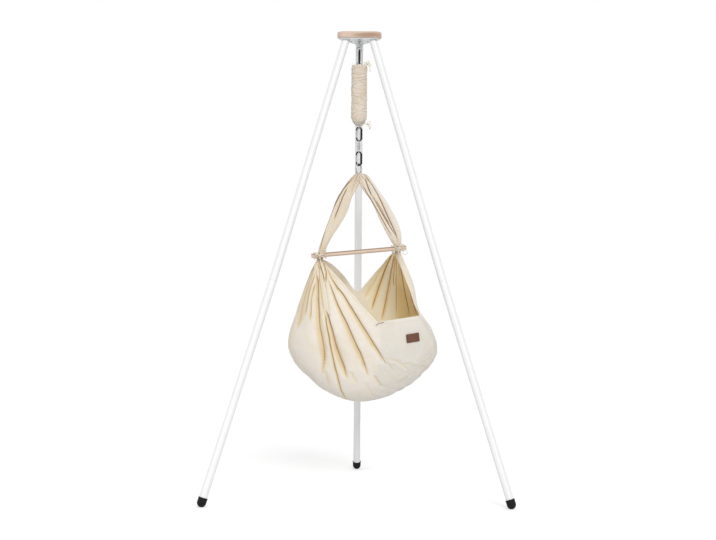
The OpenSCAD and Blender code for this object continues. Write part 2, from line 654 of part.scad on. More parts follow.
// A layer of the bag: rows i0 to i1, columns k0 to k1, from off0 to off1 inside the cloth's outer face
module bag_layer(i0, i1, k0, k1, off0, off1)
    sheet_solid(bag_grid(i0, i1, k0, k1, off0), bag_grid(i0, i1, k0, k1, off1), i1 - i0 + 1, k1 - k0 + 1);

module bag() color("antiquewhite") bag_layer(0, ROW_STEPS, 0, s_steps, 0, bag_wall);

PANEL_ROWS = [8, 12];
panel_last_k = round(s_steps * 0.36);
module foot_panel() color("ivory")
    bag_layer(PANEL_ROWS[0], PANEL_ROWS[1], 0, panel_last_k, -seat_gap - panel_t, -seat_gap);

MATTRESS_ROWS = [4, 12];
mattress_k = round(s_steps * 0.27);
module mattress() color("white") bag_layer(MATTRESS_ROWS[0], MATTRESS_ROWS[1],
    s_steps / 2 - mattress_k / 2, s_steps / 2 + mattress_k / 2, bag_wall + seat_gap,
    bag_wall + seat_gap + mattress_t);

// The patch lies flat on the panel, with its lower edge rising to the right
PATCH_U = 7.62;
PATCH_S = -0.785;
PATCH_RISE = 7;
patch_lift = 0.1;
function panel_skin(du, ds) = bag_point(PATCH_U + du, PATCH_S + ds, -seat_gap - panel_t);
module label_patch() color("sienna") {
    out = unit(cross(panel_skin(0.2, 0) - panel_skin(-0.2, 0), panel_skin(0, -0.05) - panel_skin(0, 0.05)));
    level = [cos(PATCH_RISE), 0, sin(PATCH_RISE)];
    right = unit(level - out * (level * out));
    up = cross(out, right);
    middle = panel_skin(0, 0) + out * (patch_lift + patch_t / 2);
    multmatrix([for (i = [0:2]) [right[i], up[i], out[i], middle[i]]])
        cube([patch_w, patch_h, patch_t], center = true);
}

// ---- Loose cord ends ----
// The routes are places on the middle line of each cord
TAIL_LEFT = [[-157, -50, 978], [-156, -50, 968], [-152, -54, 950], [-146, -60, 932], [-140, -68, 910],
    [-135, -80, 888], [-130, -94, 864], [-126, -108, 840], [-122, -122, 815], [-118, -134, 790],
    [-115, -144, 768], [-114, -151, 748]];
TAIL_RIGHT = [[163, -50, 1008.5], [164, -50, 1001], [169, -51, 988], [173, -52, 976], [176, -52, 964],
    [177, -52, 952]];
module tie_tail_left() color("ivory") swept_tube(TAIL_LEFT, tie_r, 8);
module tie_tail_right() color("ivory") swept_tube(TAIL_RIGHT, tie_r, 8);
SLEEVE_TAIL_TOP = [[18, -10, 1769], [26, -14, 1772], [34, -17, 1771], [40, -18, 1765], [43, -18, 1756],
    [44, -18, 1746]];
SLEEVE_TAIL_LOW = [[22.5, -4, 1527], [31, -6, 1527], [38, -8, 1524], [43, -9, 1517], [45, -9, 1508]];
module sleeve_tail_top() color("ivory") swept_tube(SLEEVE_TAIL_TOP, drawstring_d / 2, 8);
module sleeve_tail_low() color("ivory") swept_tube(SLEEVE_TAIL_LOW, drawstring_d / 2, 8);

// ---- Placement: the legs' axis stands axis_y from the origin ----
module placed() translate([0, axis_y, 0]) children();

placed() top_plate();
placed() head_bracket();
placed() head_screws();
placed() eye_bolt();
placed() eye_nut();
placed() leg_upper(AZ_LEFT);  // leg_upper_left
placed() leg_upper(AZ_RIGHT);  // leg_upper_right
placed() leg_upper(AZ_BACK);  // leg_upper_back
placed() leg_lower(AZ_LEFT);  // leg_lower_left
placed() leg_lower(AZ_RIGHT);  // leg_lower_right
placed() leg_lower(AZ_BACK);  // leg_lower_back
placed() foot(AZ_LEFT);  // foot_left
placed() foot(AZ_RIGHT);  // foot_right
placed() foot(AZ_BACK);  // foot_back
placed() at_top_hook() hook_body();  // hook_top
placed() at_top_hook() hook_gate();  // gate_top
placed() at_top_hook() hook_pin();  // gate_pin_top
placed() at_mid_hook() hook_body();  // hook_mid
placed() at_mid_hook() hook_gate();  // gate_mid
placed() at_mid_hook() hook_pin();  // gate_pin_mid
placed() at_low_hook() hook_body();  // hook_low
placed() at_low_hook() hook_gate();  // gate_low
placed() at_low_hook() hook_pin();  // gate_pin_low
placed() spring_end_top();
placed() spring_coil();
placed() spring_end_low();
placed() spring_sleeve();
placed() sleeve_tail_top();
placed() sleeve_tail_low();
placed() swivel_upper();
placed() swivel_lower();
placed() cradle_ring();
placed() strap_left();
placed() strap_right();
placed() spreader_bar();
placed() tie_left();
placed() tie_right();
placed() tie_tail_left();
placed() tie_tail_right();
placed() bag();
placed() foot_panel();
placed() label_patch();
placed() mattress();
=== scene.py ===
import math

import bpy
import numpy as np
from mathutils import Euler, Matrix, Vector


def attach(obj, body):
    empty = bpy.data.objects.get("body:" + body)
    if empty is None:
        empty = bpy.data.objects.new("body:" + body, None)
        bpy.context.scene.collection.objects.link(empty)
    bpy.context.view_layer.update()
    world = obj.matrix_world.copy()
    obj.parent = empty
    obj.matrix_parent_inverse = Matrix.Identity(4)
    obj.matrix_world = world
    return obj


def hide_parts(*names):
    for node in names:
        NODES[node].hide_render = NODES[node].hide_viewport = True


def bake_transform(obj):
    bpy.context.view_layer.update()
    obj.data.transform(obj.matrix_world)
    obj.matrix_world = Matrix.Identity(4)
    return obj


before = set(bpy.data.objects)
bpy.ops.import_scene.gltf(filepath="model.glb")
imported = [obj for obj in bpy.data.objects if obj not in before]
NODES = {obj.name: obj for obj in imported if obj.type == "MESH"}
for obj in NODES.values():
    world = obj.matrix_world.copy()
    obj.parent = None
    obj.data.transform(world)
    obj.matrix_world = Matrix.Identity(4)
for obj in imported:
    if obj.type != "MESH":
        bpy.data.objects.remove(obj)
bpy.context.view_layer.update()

AXIS_Y = -0.175  # the suspension's axis in the row frame
MM = 0.001


def new_object(name, data):
    ob = bpy.data.objects.new(name, data)
    bpy.context.scene.collection.objects.link(ob)
    return ob


# ---- Camera: level, looking along +Y, with a slight roll ----
CAM_POS = (0.0, -5.784, 0.9235)
CAM_LENS = 68.2
CAM_SENSOR = 36.0
CAM_ROLL = math.radians(0.37)
IMG_W, IMG_H = 716, 540
cam_data = bpy.data.cameras.new("camera")
cam_data.lens = CAM_LENS
cam_data.sensor_width = CAM_SENSOR
cam = new_object("camera", cam_data)
cam.location = CAM_POS
cam.rotation_euler = Euler((math.radians(90), -CAM_ROLL, 0))
bpy.context.scene.camera = cam


def to_picture(p):
    """Picture coordinates of points (n, 3) in metres, 716 by 540, y down."""
    f = CAM_LENS / CAM_SENSOR * IMG_W
    depth = p[:, 1] - CAM_POS[1]
    x = f * (p[:, 0] - CAM_POS[0]) / depth
    y = -f * (p[:, 2] - CAM_POS[2]) / depth
    c, s = math.cos(CAM_ROLL), math.sin(CAM_ROLL)
    return np.stack([IMG_W / 2 + c * x - s * y, IMG_H / 2 + s * x + c * y], axis=1)


# ---- Material helpers ----
def set_inputs(node, values):
    for name, value in values.items():
        node.inputs[name].default_value = value


def new_material(name):
    m = bpy.data.materials.new(name)
    m.use_nodes = True
    nt = m.node_tree
    bsdf = nt.nodes["Principled BSDF"]
    coord = nt.nodes.new("ShaderNodeTexCoord")
    return m, nt, bsdf, coord.outputs["Object"]


def add_noise(nt, coord, scale, detail=3.0, rough=0.5, stretch=None):
    src = coord
    if stretch:
        mp = nt.nodes.new("ShaderNodeMapping")
        mp.inputs["Scale"].default_value = stretch
        nt.links.new(coord, mp.inputs["Vector"])
        src = mp.outputs["Vector"]
    n = nt.nodes.new("ShaderNodeTexNoise")
    set_inputs(n, {"Scale": scale, "Detail": detail, "Roughness": rough})
    nt.links.new(src, n.inputs["Vector"])
    return n.outputs["Fac"]


def add_ramp(nt, fac, stops):
    r = nt.nodes.new("ShaderNodeValToRGB")
    e = r.color_ramp.elements
    while len(e) < len(stops):
        e.new(0.5)
    for el, (pos, col) in zip(e, stops):
        el.position = pos
        el.color = (*col, 1)
    nt.links.new(fac, r.inputs["Fac"])
    return r.outputs["Color"]


def add_bump(nt, bsdf, height, strength, distance, normal=None):
    b = nt.nodes.new("ShaderNodeBump")
    set_inputs(b, {"Strength": strength, "Distance": distance})
    nt.links.new(height, b.inputs["Height"])
    if normal:
        nt.links.new(normal, b.inputs["Normal"])
    if bsdf:
        nt.links.new(b.outputs["Normal"], bsdf.inputs["Normal"])
    return b.outputs["Normal"]


def multiply(nt, share, colour, tint):
    """Colour darkened by a tint, which counts by its share from 0 to 1."""
    m = nt.nodes.new("ShaderNodeMix")
    m.data_type = "RGBA"
    m.blend_type = "MULTIPLY"
    m.inputs[0].default_value = share
    nt.links.new(colour, m.inputs[6])
    nt.links.new(tint, m.inputs[7])
    return m.outputs[2]


WAVE_SCALE = 3.1416 / 6.283  # scale of a wave texture that has one thread in each unit of pitch


def weave(nt, coord, pitch):
    """Height of a plain weave: two crossed sets of threads, on all three planes."""
    outs = []
    for direction in ("X", "Y", "Z"):
        w = nt.nodes.new("ShaderNodeTexWave")
        w.wave_type = "BANDS"
        w.bands_direction = direction
        set_inputs(w, {"Scale": WAVE_SCALE / pitch, "Distortion": 0.6, "Detail": 1.0, "Detail Scale": 2.0})
        nt.links.new(coord, w.inputs["Vector"])
        outs.append(w.outputs["Fac"])
    total = outs[0]
    for o in outs[1:]:
        m = nt.nodes.new("ShaderNodeMath")
        m.operation = "ADD"
        nt.links.new(total, m.inputs[0])
        nt.links.new(o, m.inputs[1])
        total = m.outputs[0]
    return total


# Tints of painted shade on the cloth, from its open faces, at 0, to the bottoms of its folds, at 1: the bag's
# outer face, its inner face, where it is redder as painted light through the cloth, and the straps
FOLD_SHADE_TINTS = [(0.0, (1, 1, 1)), (0.35, (0.95, 0.885, 0.74)), (0.66, (0.83, 0.715, 0.51)),
              (0.86, (0.59, 0.48, 0.32)), (1.0, (0.42, 0.32, 0.21))]
INNER_SHADE_TINTS = [(0.0, (1, 1, 1)), (0.35, (0.97, 0.88, 0.71)), (0.66, (0.90, 0.71, 0.46)),
               (0.86, (0.64, 0.46, 0.29)), (1.0, (0.36, 0.24, 0.14))]
STRAP_SHADE_TINTS = [(0.0, (1, 1, 1)), (0.3, (0.90, 0.85, 0.78)), (0.6, (0.70, 0.58, 0.46)),
               (1.0, (0.22, 0.17, 0.13))]


def cotton(name, pale, deep, pitch=0.0011, wrinkle=0.5, scale=14.0, shade_tints=FOLD_SHADE_TINTS, glow=0.008):
    """Woven cotton. Pitch is its threads' spacing in metres, wrinkle and scale are its dents' strength and
    fineness, and glow is how far light spreads in it. Its tint ramp is painted shade, golden as painted light
    through the cloth, which the point attribute "fold" picks."""
    m, nt, bsdf, coord = new_material(name)
    blotch = add_noise(nt, coord, 9.0, 4.0, 0.6)
    colour = add_ramp(nt, blotch, [(0.3, deep), (0.62, pale)])
    slub = add_noise(nt, coord, 420.0, 2.0, 0.6)
    tint = add_ramp(nt, slub, [(0.42, tuple(0.93 * c for c in pale)), (0.6, (1, 1, 1))])
    slubbed = multiply(nt, 0.35, colour, tint)
    # painted shade: the point attribute "fold" picks a tint that darkens and warms the cloth in its folds
    fold = nt.nodes.new("ShaderNodeAttribute")
    fold.attribute_name = "fold"
    golden = multiply(nt, 1.0, slubbed, add_ramp(nt, fold.outputs["Fac"], shade_tints))
    nt.links.new(golden, bsdf.inputs["Base Color"])
    set_inputs(bsdf, {"Roughness": 0.88, "Subsurface Weight": 0.4, "Subsurface Radius": (1.0, 0.8, 0.5),
                      "Subsurface Scale": glow, "Sheen Weight": 0.12, "Sheen Roughness": 0.5,
                      "Specular IOR Level": 0.2})
    creases = add_noise(nt, coord, scale, 4.0, 0.62)
    dented = add_bump(nt, None, creases, wrinkle, 0.006)
    add_bump(nt, bsdf, weave(nt, coord, pitch), 0.25, 0.0004, dented)
    return m


mat_cotton = cotton("cream_cotton", (0.91, 0.84, 0.76), (0.88, 0.795, 0.70))
mat_panel = cotton("panel_cotton", (0.94, 0.86, 0.745), (0.91, 0.82, 0.69))
# The bag's inner face: a brighter, warmer copy of the cotton, painted light for the light through the cloth
mat_inner_lit = cotton("cream_cotton_inner_painted_light", (1.0, 0.92, 0.80), (0.99, 0.90, 0.77),
                   shade_tints=INNER_SHADE_TINTS, glow=0.012)
# The straps: a darker copy of the cotton, painted shade of their layers and wrinkles
mat_strap_shaded = cotton("strap_cotton_shaded", (0.87, 0.81, 0.745), (0.84, 0.77, 0.70), shade_tints=STRAP_SHADE_TINTS)
mat_sleeve = cotton("sleeve_cotton", (0.80, 0.73, 0.65), (0.72, 0.63, 0.52), wrinkle=0.7, scale=40.0)
mat_mattress = cotton("mattress_cotton", (0.92, 0.90, 0.85), (0.89, 0.86, 0.80))
mat_cord = cotton("cotton_cord", (0.87, 0.80, 0.69), (0.80, 0.72, 0.58), pitch=0.0022)


# ---- Mesh helpers ----
def mesh_object(name, verts, faces, material):
    me = bpy.data.meshes.new(name)
    me.from_pydata([tuple(map(float, v)) for v in verts], [], faces)
    me.validate()
    me.materials.append(material)
    me.shade_smooth()
    return new_object(name, me)


def shell_faces(nu, ns):
    """Faces of a closed sheet whose second half of points is its inner side."""
    n = nu * ns
    outer = [(a, a + 1, a + ns + 1, a + ns) for i in range(nu - 1) for a in range(i * ns, i * ns + ns - 1)]
    inner = [tuple(n + i for i in reversed(f)) for f in outer]
    edges = []
    for a in range(0, n - ns, ns):
        b = a + ns - 1
        edges += [(a, a + ns), (b + ns, b)]
    for k in range(ns - 1):
        b = n - ns + k
        edges += [(k + 1, k), (b, b + 1)]
    return outer + inner + [(a, b, n + b, n + a) for a, b in edges]


def to_row(p):
    """Millimetres about the suspension's axis to metres in the row frame."""
    q = np.array(p, float) * MM
    q[..., 1] += AXIS_Y
    return q


def closed_sheet(name, one_side, other_side, material):
    """Closed sheet between two grids of points in millimetres."""
    points = np.vstack([to_row(side).reshape(-1, 3) for side in (one_side, other_side)])
    return mesh_object(name, points, shell_faces(*one_side.shape[:2]), material)


def grid_normals(p):
    n = np.cross(np.gradient(p, axis=0), np.gradient(p, axis=1))
    return n / np.maximum(np.linalg.norm(n, axis=-1, keepdims=True), 1e-9)


def grid_to_picture(p):
    """Picture coordinates of a grid of points in millimetres."""
    return to_picture(to_row(p).reshape(-1, 3)).reshape(*p.shape[:2], 2)


def smooth(x, a, b):
    """Soft step, from 0 at a to 1 at b."""
    t = np.clip((x - a) / (b - a), 0, 1)
    return t * t * (3 - 2 * t)


# ---- The bag's cloth, from the same stations as the solid, in millimetres ----
# At each station: lowest point, front rim and back rim, each across and down as shares of half the bag's
# length and of its drop, and the share of its depth
BAG_KEYS = [
    [[-0.72, 0.15], [-0.47, 0.10], [-0.43, 0.08], 0.30],
    [[-0.90, 0.41], [-0.31, 0.18], [-0.30, 0.14], 0.62],
    [[-1.00, 0.62], [-0.17, 0.26], [-0.22, 0.19], 0.88],
    [[-0.82, 0.79], [-0.03, 0.34], [-0.15, 0.24], 0.98],
    [[-0.37, 0.96], [0.10, 0.41], [-0.10, 0.26], 1.00],
    [[0.12, 0.99], [0.21, 0.46], [-0.05, 0.26], 1.00],
    [[0.62, 0.88], [0.41, 0.46], [0.02, 0.22], 1.00],
    [[0.97, 0.69], [0.58, 0.44], [0.12, 0.16], 0.95],
    [[0.92, 0.52], [0.73, 0.42], [0.23, 0.10], 0.80],
    [[0.74, 0.38], [0.67, 0.34], [0.31, 0.05], 0.50],
    [[0.66, 0.20], [0.57, 0.20], [0.38, 0.01], 0.28]]
STATIONS = len(BAG_KEYS) + 1
GATHER_L = (-157.3, 983.1)
GATHER_R = (163.3, 1013.4)
GATHER_MID_Z = 998.3
BAG_L, BAG_DEPTH, BAG_DROP = 622.0, 344.0, 622.0
BAG_MID_X = 23.0
SEAT_GAP = 0.3
NECK = 16.5 + SEAT_GAP  # from a gather's middle down to the cloth under its ties
BUNDLE_R = 12.8  # radius of the bundled cloth there


def gather_row(g, side):
    """Row of a gather, g its middle and side -1 at the left one and 1 at the right one."""
    z = g[1] - NECK
    return [g[0] + side * BUNDLE_R, z, g[0] - side * BUNDLE_R, z, g[0] - side * BUNDLE_R, z, BUNDLE_R]


def key_row(k):
    """Row of a station: across and height of its lowest point, front rim and back rim, and half depth."""
    row = []
    for p in k[:3]:
        row += [BAG_MID_X + p[0] * BAG_L / 2, GATHER_MID_Z - p[1] * BAG_DROP]
    return row + [k[3] * BAG_DEPTH / 2]


ROWS = np.array([gather_row(GATHER_L, -1)] + [key_row(k) for k in BAG_KEYS] + [gather_row(GATHER_R, 1)])


def row_at(u):
    """Smooth curve through the rows, u an array of stations."""
    n = len(ROWS)
    i = np.minimum(np.floor(u).astype(int), n - 2)
    t = (u - i)[..., None]
    p0, p1 = ROWS[np.maximum(i - 1, 0)], ROWS[i]
    p2, p3 = ROWS[i + 1], ROWS[np.minimum(i + 2, n - 1)]
    return 0.5 * (2 * p1 + (p2 - p0) * t + (2 * p0 - 5 * p1 + 4 * p2 - p3) * t * t
                  + (3 * p1 - p0 - 3 * p2 + p3) * t * t * t)


def bag_smooth(u, s):
    """Unfolded cloth: (points, inward directions) in millimetres about the suspension's axis."""
    r = row_at(u)
    zero = np.zeros_like(u)
    low = np.stack([r[..., 0], zero, r[..., 1]], -1)
    front = np.stack([r[..., 2], zero, r[..., 3]], -1)
    back = np.stack([r[..., 4], zero, r[..., 5]], -1)
    rim = np.where((s < 0)[..., None], front, back)
    a = np.radians(90 * s)
    p = low + (rim - low) * (1 - np.cos(a))[..., None]
    p[..., 1] += r[..., 6] * np.sin(a)
    inward = (front + back) / 2 - p
    inward /= np.linalg.norm(inward, axis=-1, keepdims=True)
    return p, inward


# Creases of the cloth's outer face, as lines in the picture. Each has its depth in millimetres, its half
# width in pixels at the start and the end, the share of that width on its left and right flank, and how
# strong the painted golden shade at its bottom is.
EVEN = (1.0, 1.0)
OUTER_CREASES = [
    ([(313.5, 264), (306, 287), (301.5, 305), (297.2, 329)], 9, (1.4, 4.4), (1.0, 1.4), 0.66),
    ([(314, 274), (309.2, 288), (306.2, 302), (304.2, 317)], 8, (0.8, 2.0), (1.2, 0.8), 0.8),
    ([(313.4, 284), (310.4, 300), (309.4, 322)], 7, (0.8, 1.9), (1.2, 0.8), 0.7),
    ([(315, 272), (315, 290), (316, 315), (317.4, 332), (320.8, 348), (322.6, 359), (322, 375)],
     20, (1.4, 4.6), (1.0, 1.2), 0.9),
    ([(324.8, 310), (328, 323), (332, 340), (336, 353), (340, 364), (346.8, 379)],
     20, (0.9, 4.6), (0.9, 1.0), 1.0),
    ([(324, 312), (326.8, 331), (331, 353), (334, 366), (338, 381), (341, 392), (347, 401.5)],
     7, (0.7, 1.7), EVEN, 1.0),
    ([(318, 259), (320, 269), (322.5, 275.5), (324, 283)], 8, (0.7, 0.9), EVEN, 1.0),
    ([(321, 259), (324, 266), (325.6, 272), (325, 288)], 7, (0.6, 0.9), EVEN, 1.0),
    ([(328, 281), (334, 300), (340, 314), (347, 329), (354, 345), (361, 359), (368.6, 377)],
     22, (1.0, 3.6), (1.3, 0.6), 0.92),
    ([(328, 274), (336, 287), (344, 297), (354, 314), (366.3, 334), (376, 349.5), (386.4, 364.5)],
     18, (0.7, 3.2), (1.3, 0.6), 0.92),
    ([(326, 268), (333.6, 283), (338.5, 293)], 6, (0.7, 1.0), EVEN, 0.7),
    ([(317.5, 262), (318.8, 285), (321, 300), (323, 316)], 8, (0.8, 1.5), EVEN, 0.7),
    ([(374.4, 376), (381.4, 386.5)], 5, (1.0, 1.3), (1.3, 0.7), 0.6),
    ([(385, 358.4), (395.7, 359.3), (402.9, 364.3), (408.6, 369.6)], 3, (0.7, 1.2), (1.2, 0.8), 0.3),
    ([(387, 361.4), (392.9, 369.6)], 3, (0.7, 1.1), (1.2, 0.8), 0.3),
    ([(397, 361.8), (411, 363.4), (425.7, 368.6)], 2, (0.8, 1.4), EVEN, 0.12),
    ([(325, 371), (329, 387)], 5, (1.2, 2.0), EVEN, 0.35),
    ([(350, 372), (357, 384)], 4, (1.2, 2.0), EVEN, 0.3),
    ([(366, 383), (370, 391), (376, 398)], 3, (0.8, 1.3), EVEN, 0.2),
    # the stitched hems of the near rim and of the panel
    ([(328, 270), (344, 286.5), (354, 298.5), (365, 311.5), (376, 324)], 1.6, (0.5, 0.5), EVEN, 0.4),
    ([(379, 325.6), (398, 324), (410, 321.4), (420, 318.6)], 0.8, (0.4, 0.4), EVEN, 0.15),
]
# Creases of the far wall's inner face, seen through the mouth, with painted shade as on the outer face
INNER_CREASES = [
    ([(392, 255), (384, 268), (374, 284), (364, 300)], 10, (1.2, 3.4), (1.0, 1.2), 0.5),
    ([(394, 252.5), (386, 272), (378, 292), (371.4, 311)], 15, (1.0, 2.6), (1.4, 0.7), 0.98),
    ([(395.6, 253), (391.7, 276), (386.5, 298), (380.8, 322)], 15, (1.0, 2.6), (0.7, 1.3), 0.92),
    ([(396.2, 256), (394.8, 270), (393.6, 288)], 8, (0.6, 1.0), EVEN, 0.85),
    ([(397, 256), (396.6, 288), (395.8, 321)], 10, (0.6, 0.9), EVEN, 0.85),
    ([(398.2, 251), (402, 275), (405.5, 295), (410, 318)], 16, (0.8, 1.6), (1.4, 0.6), 0.95),
    ([(400, 256), (406.5, 280), (414, 306), (417.5, 317)], 10, (0.8, 1.3), EVEN, 0.9),
]


def near_line(px, line):
    """Distance of picture points (n, 2) from a polyline, the share of its length there, and the side."""
    line = np.array(line, float)
    seg = np.diff(line, axis=0)
    lens = np.linalg.norm(seg, axis=1)
    start = np.concatenate([[0], np.cumsum(lens)])
    best = np.full(len(px), 1e9)
    along = np.zeros(len(px))
    side = np.zeros(len(px))
    for a, d, ln, s0 in zip(line[:-1], seg, lens, start):
        rel = px - a
        t = np.clip(rel @ d / ln ** 2, 0, 1)
        near = rel - t[:, None] * d
        dist = np.hypot(near[:, 0], near[:, 1])
        closer = dist < best
        best = np.where(closer, dist, best)
        along = np.where(closer, (s0 + t * ln) / start[-1], along)
        side = np.where(closer, np.sign(d[0] * rel[:, 1] - d[1] * rel[:, 0]), side)
    return best, along, side


def crease_field(px, creases, where=1):
    """Depth in millimetres and painted golden shade, from 0 to 1, of the strongest crease at each picture
    point of a grid, where they show."""
    shape = px.shape[:-1]
    depth = np.zeros(shape)
    tone = np.zeros(shape)
    for line, deep, (w0, w1), (left, right), shade_share in creases:
        best, along, side = (f.reshape(shape) for f in near_line(px.reshape(-1, 2), line))
        # a fold opens on its way from the knot and closes again to a point
        open_share = 0.2 + 0.8 * np.clip((1 - along) / 0.22, 0, 1) ** 0.8
        half_width = (w0 + (w1 - w0) * np.minimum(along / 0.6, 1)) * open_share
        width = half_width * np.where(side > 0, left, right)
        strength = np.clip(along / 0.10, 0.3, 1) * np.clip((1 - along) / 0.12, 0, 1) ** 0.6
        depth = np.maximum(depth, deep * strength * np.exp(-(best / width) ** 1.3))
        # painted shade: an even golden band with crisp edges, and a dark line along its bottom
        band = 0.6 * np.exp(-(best / (0.8 * width)) ** 4) + 0.5 * np.exp(-(best / 0.6) ** 2)
        tone = np.maximum(tone, shade_share * strength ** 0.5 * band)
    return depth * where, tone * where


RIGHT_END = 1.15


def from_gather(u):
    """Stations from the nearer gather, where those of the right end count a little more."""
    return np.minimum(u, (STATIONS - u) * RIGHT_END)


def fold_show(u):
    """How far the back's broad folds show, from 0 to 1."""
    e = from_gather(u)
    return np.where(e < 0.8, 0.15 + e * 1.06, np.maximum(0, 1 - (e - 0.8) / 3.6))


CLOTH_T = 2.2  # thickness of the cloth with its turned edge
PANEL_EDGE = ((378.0, 380.0, 420.5, 450.0), (323.4, 321.8, 315.4, 310.7))  # panel's top edge in the picture
PIXEL_MM = 4.07  # millimetres in a pixel at the near rim
NU, NS = 260, 460
uu = np.linspace(0, STATIONS, NU)
U, S = np.meshgrid(uu, np.linspace(-1, 1, NS), indexing="ij")
P, IN = bag_smooth(U, S)


def straighten_rim(p, u, s):
    """Raises the near rim over the panel to the straight edge that the picture shows."""
    rim = to_picture(to_row(bag_smooth(uu, -np.ones_like(uu))[0]))
    edge_y = np.interp(rim[:, 0], *PANEL_EDGE, left=1e3, right=1e3)
    lift = np.clip((rim[:, 1] - edge_y) * PIXEL_MM, 0, 16) * (uu > 4.5)
    p[..., 2] += np.interp(u, uu, lift) * smooth(-s, 0.55, 1.0)


def wrinkles(p, seed=7, waves=18, lengths=(35, 120), height=0.38):
    """Small dents of unironed cloth in millimetres, from crossed waves with fixed seeds."""
    rng = np.random.default_rng(seed)
    total = np.zeros(p.shape[:-1])
    for _ in range(waves):
        direction = rng.normal(size=3)
        direction /= np.linalg.norm(direction)
        length = rng.uniform(*lengths)
        wave = np.sin(math.tau * (p @ direction) / length + rng.uniform(0, 6.28))
        total += length / lengths[1] * wave
    return height * total


def crumple(p, px):
    """Finer wrinkles, strongest under the foot panel."""
    low_right = smooth(px[..., 0], 366, 392) * smooth(px[..., 1], 340, 364)
    return wrinkles(p, seed=11, waves=30, lengths=(13, 42), height=0.3) * (0.3 + low_right)


straighten_rim(P, U, S)
N = grid_normals(P)
N_IN = N * np.sign((N * IN).sum())
PX = grid_to_picture(P)
facing = N_IN[..., 1] > 0.02  # the outer face looks at the camera where the inward direction looks away
front, front_shade = crease_field(PX, OUTER_CREASES, (S < 0.12) * facing)
far, far_shade = crease_field(PX, INNER_CREASES, (S > 0.1) * (U > 5.5))
# Fine pleats of the gathers all round, each with its own way down from the knot
PLEATS, PLEAT_DEPTH = 12, 6.0
from_knot = from_gather(U)
near_gather = np.exp(-from_knot / 0.9)
reach = 0.7 + 1.3 * (0.5 + 0.5 * np.sin(19 * S + 2.1 * np.sin(7 * S))) ** 1.5
pleat_reach = np.exp(-(from_knot / reach) ** 1.4)
valley = 1 - np.abs(np.sin(math.pi * PLEATS * (S + 1) + 0.9 * np.sin(5 * S) + 0.5 * np.sin(11 * S)))
fine = PLEAT_DEPTH * pleat_reach * valley ** 1.2
# Broad soft folds on the back, which the picture hides
BACK_FOLDS, BACK_DEPTH = 9, 9.0
back_side = np.clip((S - 0.1) / 0.2, 0, 1)
back_wave = 0.5 - 0.5 * np.cos(math.pi * BACK_FOLDS * (S + 1))
back_fold = BACK_DEPTH * fold_show(U) * back_wave ** 1.3 * back_side
back_fold *= 1 - np.clip((U - 5.5) / 1.5, 0, 1)
depth_in = front + fine + back_fold - far + (wrinkles(P) + crumple(P, PX)) * (1 - near_gather)
P_OUT = P + IN * (depth_in + 1.0)[..., None]
bag = closed_sheet("bag_cloth", P_OUT, P_OUT + N_IN * CLOTH_T, mat_cotton)
bag.data.materials.append(mat_inner_lit)
inner_faces = np.zeros(len(bag.data.polygons), int)
one_face = (NU - 1) * (NS - 1)
inner_faces[one_face:2 * one_face] = 1
bag.data.polygons.foreach_set("material_index", inner_faces)


def set_painted_shade(ob, one_side, other_side):
    """Per-point painted shade of a closed sheet's two sides, which the cotton material reads."""
    att = ob.data.attributes.new("fold", "FLOAT", "POINT")
    att.data.foreach_set("value", np.concatenate([one_side.ravel(), other_side.ravel()]).astype(np.float32))


# The end wall behind the foot panel takes its light through the cloth: painted golden shade all over it,
# stronger right of a line in the picture
end_wall_shade = (0.22 + 0.38 * smooth(PX[..., 0], 396.4, 398.2)) * (S > 0.1) * smooth(U, 5.5, 7.5)
# Painted shade: golden near the knots and in the pleats' valleys, in soft stripes fading from the knots, and
# in the back's broad folds
gather_shade = np.maximum(0.2 * near_gather ** 0.6, pleat_reach ** 0.6 * (0.1 + 0.9 * valley ** 1.4))
streak_shade = np.sin(41 * S + 3 * np.sin(9 * S)) * np.sin(0.9 * U + 5 * S) * np.exp(-from_knot / 4)
outer_shade = np.maximum(front_shade, gather_shade * (S < 0.3) * np.where(U > 6, 0.45, 1))
outer_shade = outer_shade + 0.22 * np.clip(streak_shade, 0, 1) + 0.25 * back_fold / BACK_DEPTH
inner_shade = np.maximum(np.maximum(far_shade, end_wall_shade), gather_shade * np.where(U > 6, 0.8, 0.15))
set_painted_shade(bag, np.clip(outer_shade, 0, 1), np.clip(inner_shade, 0, 1))
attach(bag, "cradle")
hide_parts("bag")


# ---- Foot panel: a second layer over the bag's foot, level with the cloth at its left and lower edges ----
PANEL_U = (6.0, 9.0)
PANEL_S = (-1.0, -0.278)
PANEL_T = 1.8
PANEL_N = 120
PATCH_U, PATCH_S = 7.62, -0.785  # the leather patch's middle
EDGE_SUNK, LAYER_RISE, PUFF, UNDER_PATCH = 1.6, 4.4, 3.0, 2.3
U2, S2 = np.meshgrid(np.linspace(*PANEL_U, PANEL_N), np.linspace(*PANEL_S, PANEL_N), indexing="ij")
P2, IN2 = bag_smooth(U2, S2)
straighten_rim(P2, U2, S2)
edge = np.minimum.reduce([(U2 - PANEL_U[0]) / 0.9, (PANEL_U[1] - U2) / 0.5, (PANEL_S[1] - S2) / 0.2,
                          np.ones_like(U2)])
lift = -EDGE_SUNK + LAYER_RISE * smooth(edge, 0, 1)
puff = np.sin(np.pi * np.clip((U2 - 6.0) / 3.0, 0, 1)) * np.sin(np.pi * np.clip((S2 + 1) / 0.72, 0, 1)) ** 0.7
# flat under the leather patch
near_patch = np.exp(-(((U2 - PATCH_U) / 0.75) ** 2 + ((S2 - PATCH_S) / 0.22) ** 2) ** 2)
PX2 = grid_to_picture(P2)
# The panel takes the bag's creases and their painted shade
panel_crease, panel_shade = crease_field(PX2, OUTER_CREASES)
rise = lift + PUFF * puff - wrinkles(P2) * 0.7 - crumple(P2, PX2)
rise = rise * (1 - near_patch) + UNDER_PATCH * near_patch - panel_crease
panel = closed_sheet("foot_panel_cloth", P2 - IN2 * rise[..., None], P2 - IN2 * (rise - PANEL_T)[..., None],
                     mat_panel)
set_painted_shade(panel, panel_shade, panel_shade)
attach(panel, "cradle")
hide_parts("foot_panel")

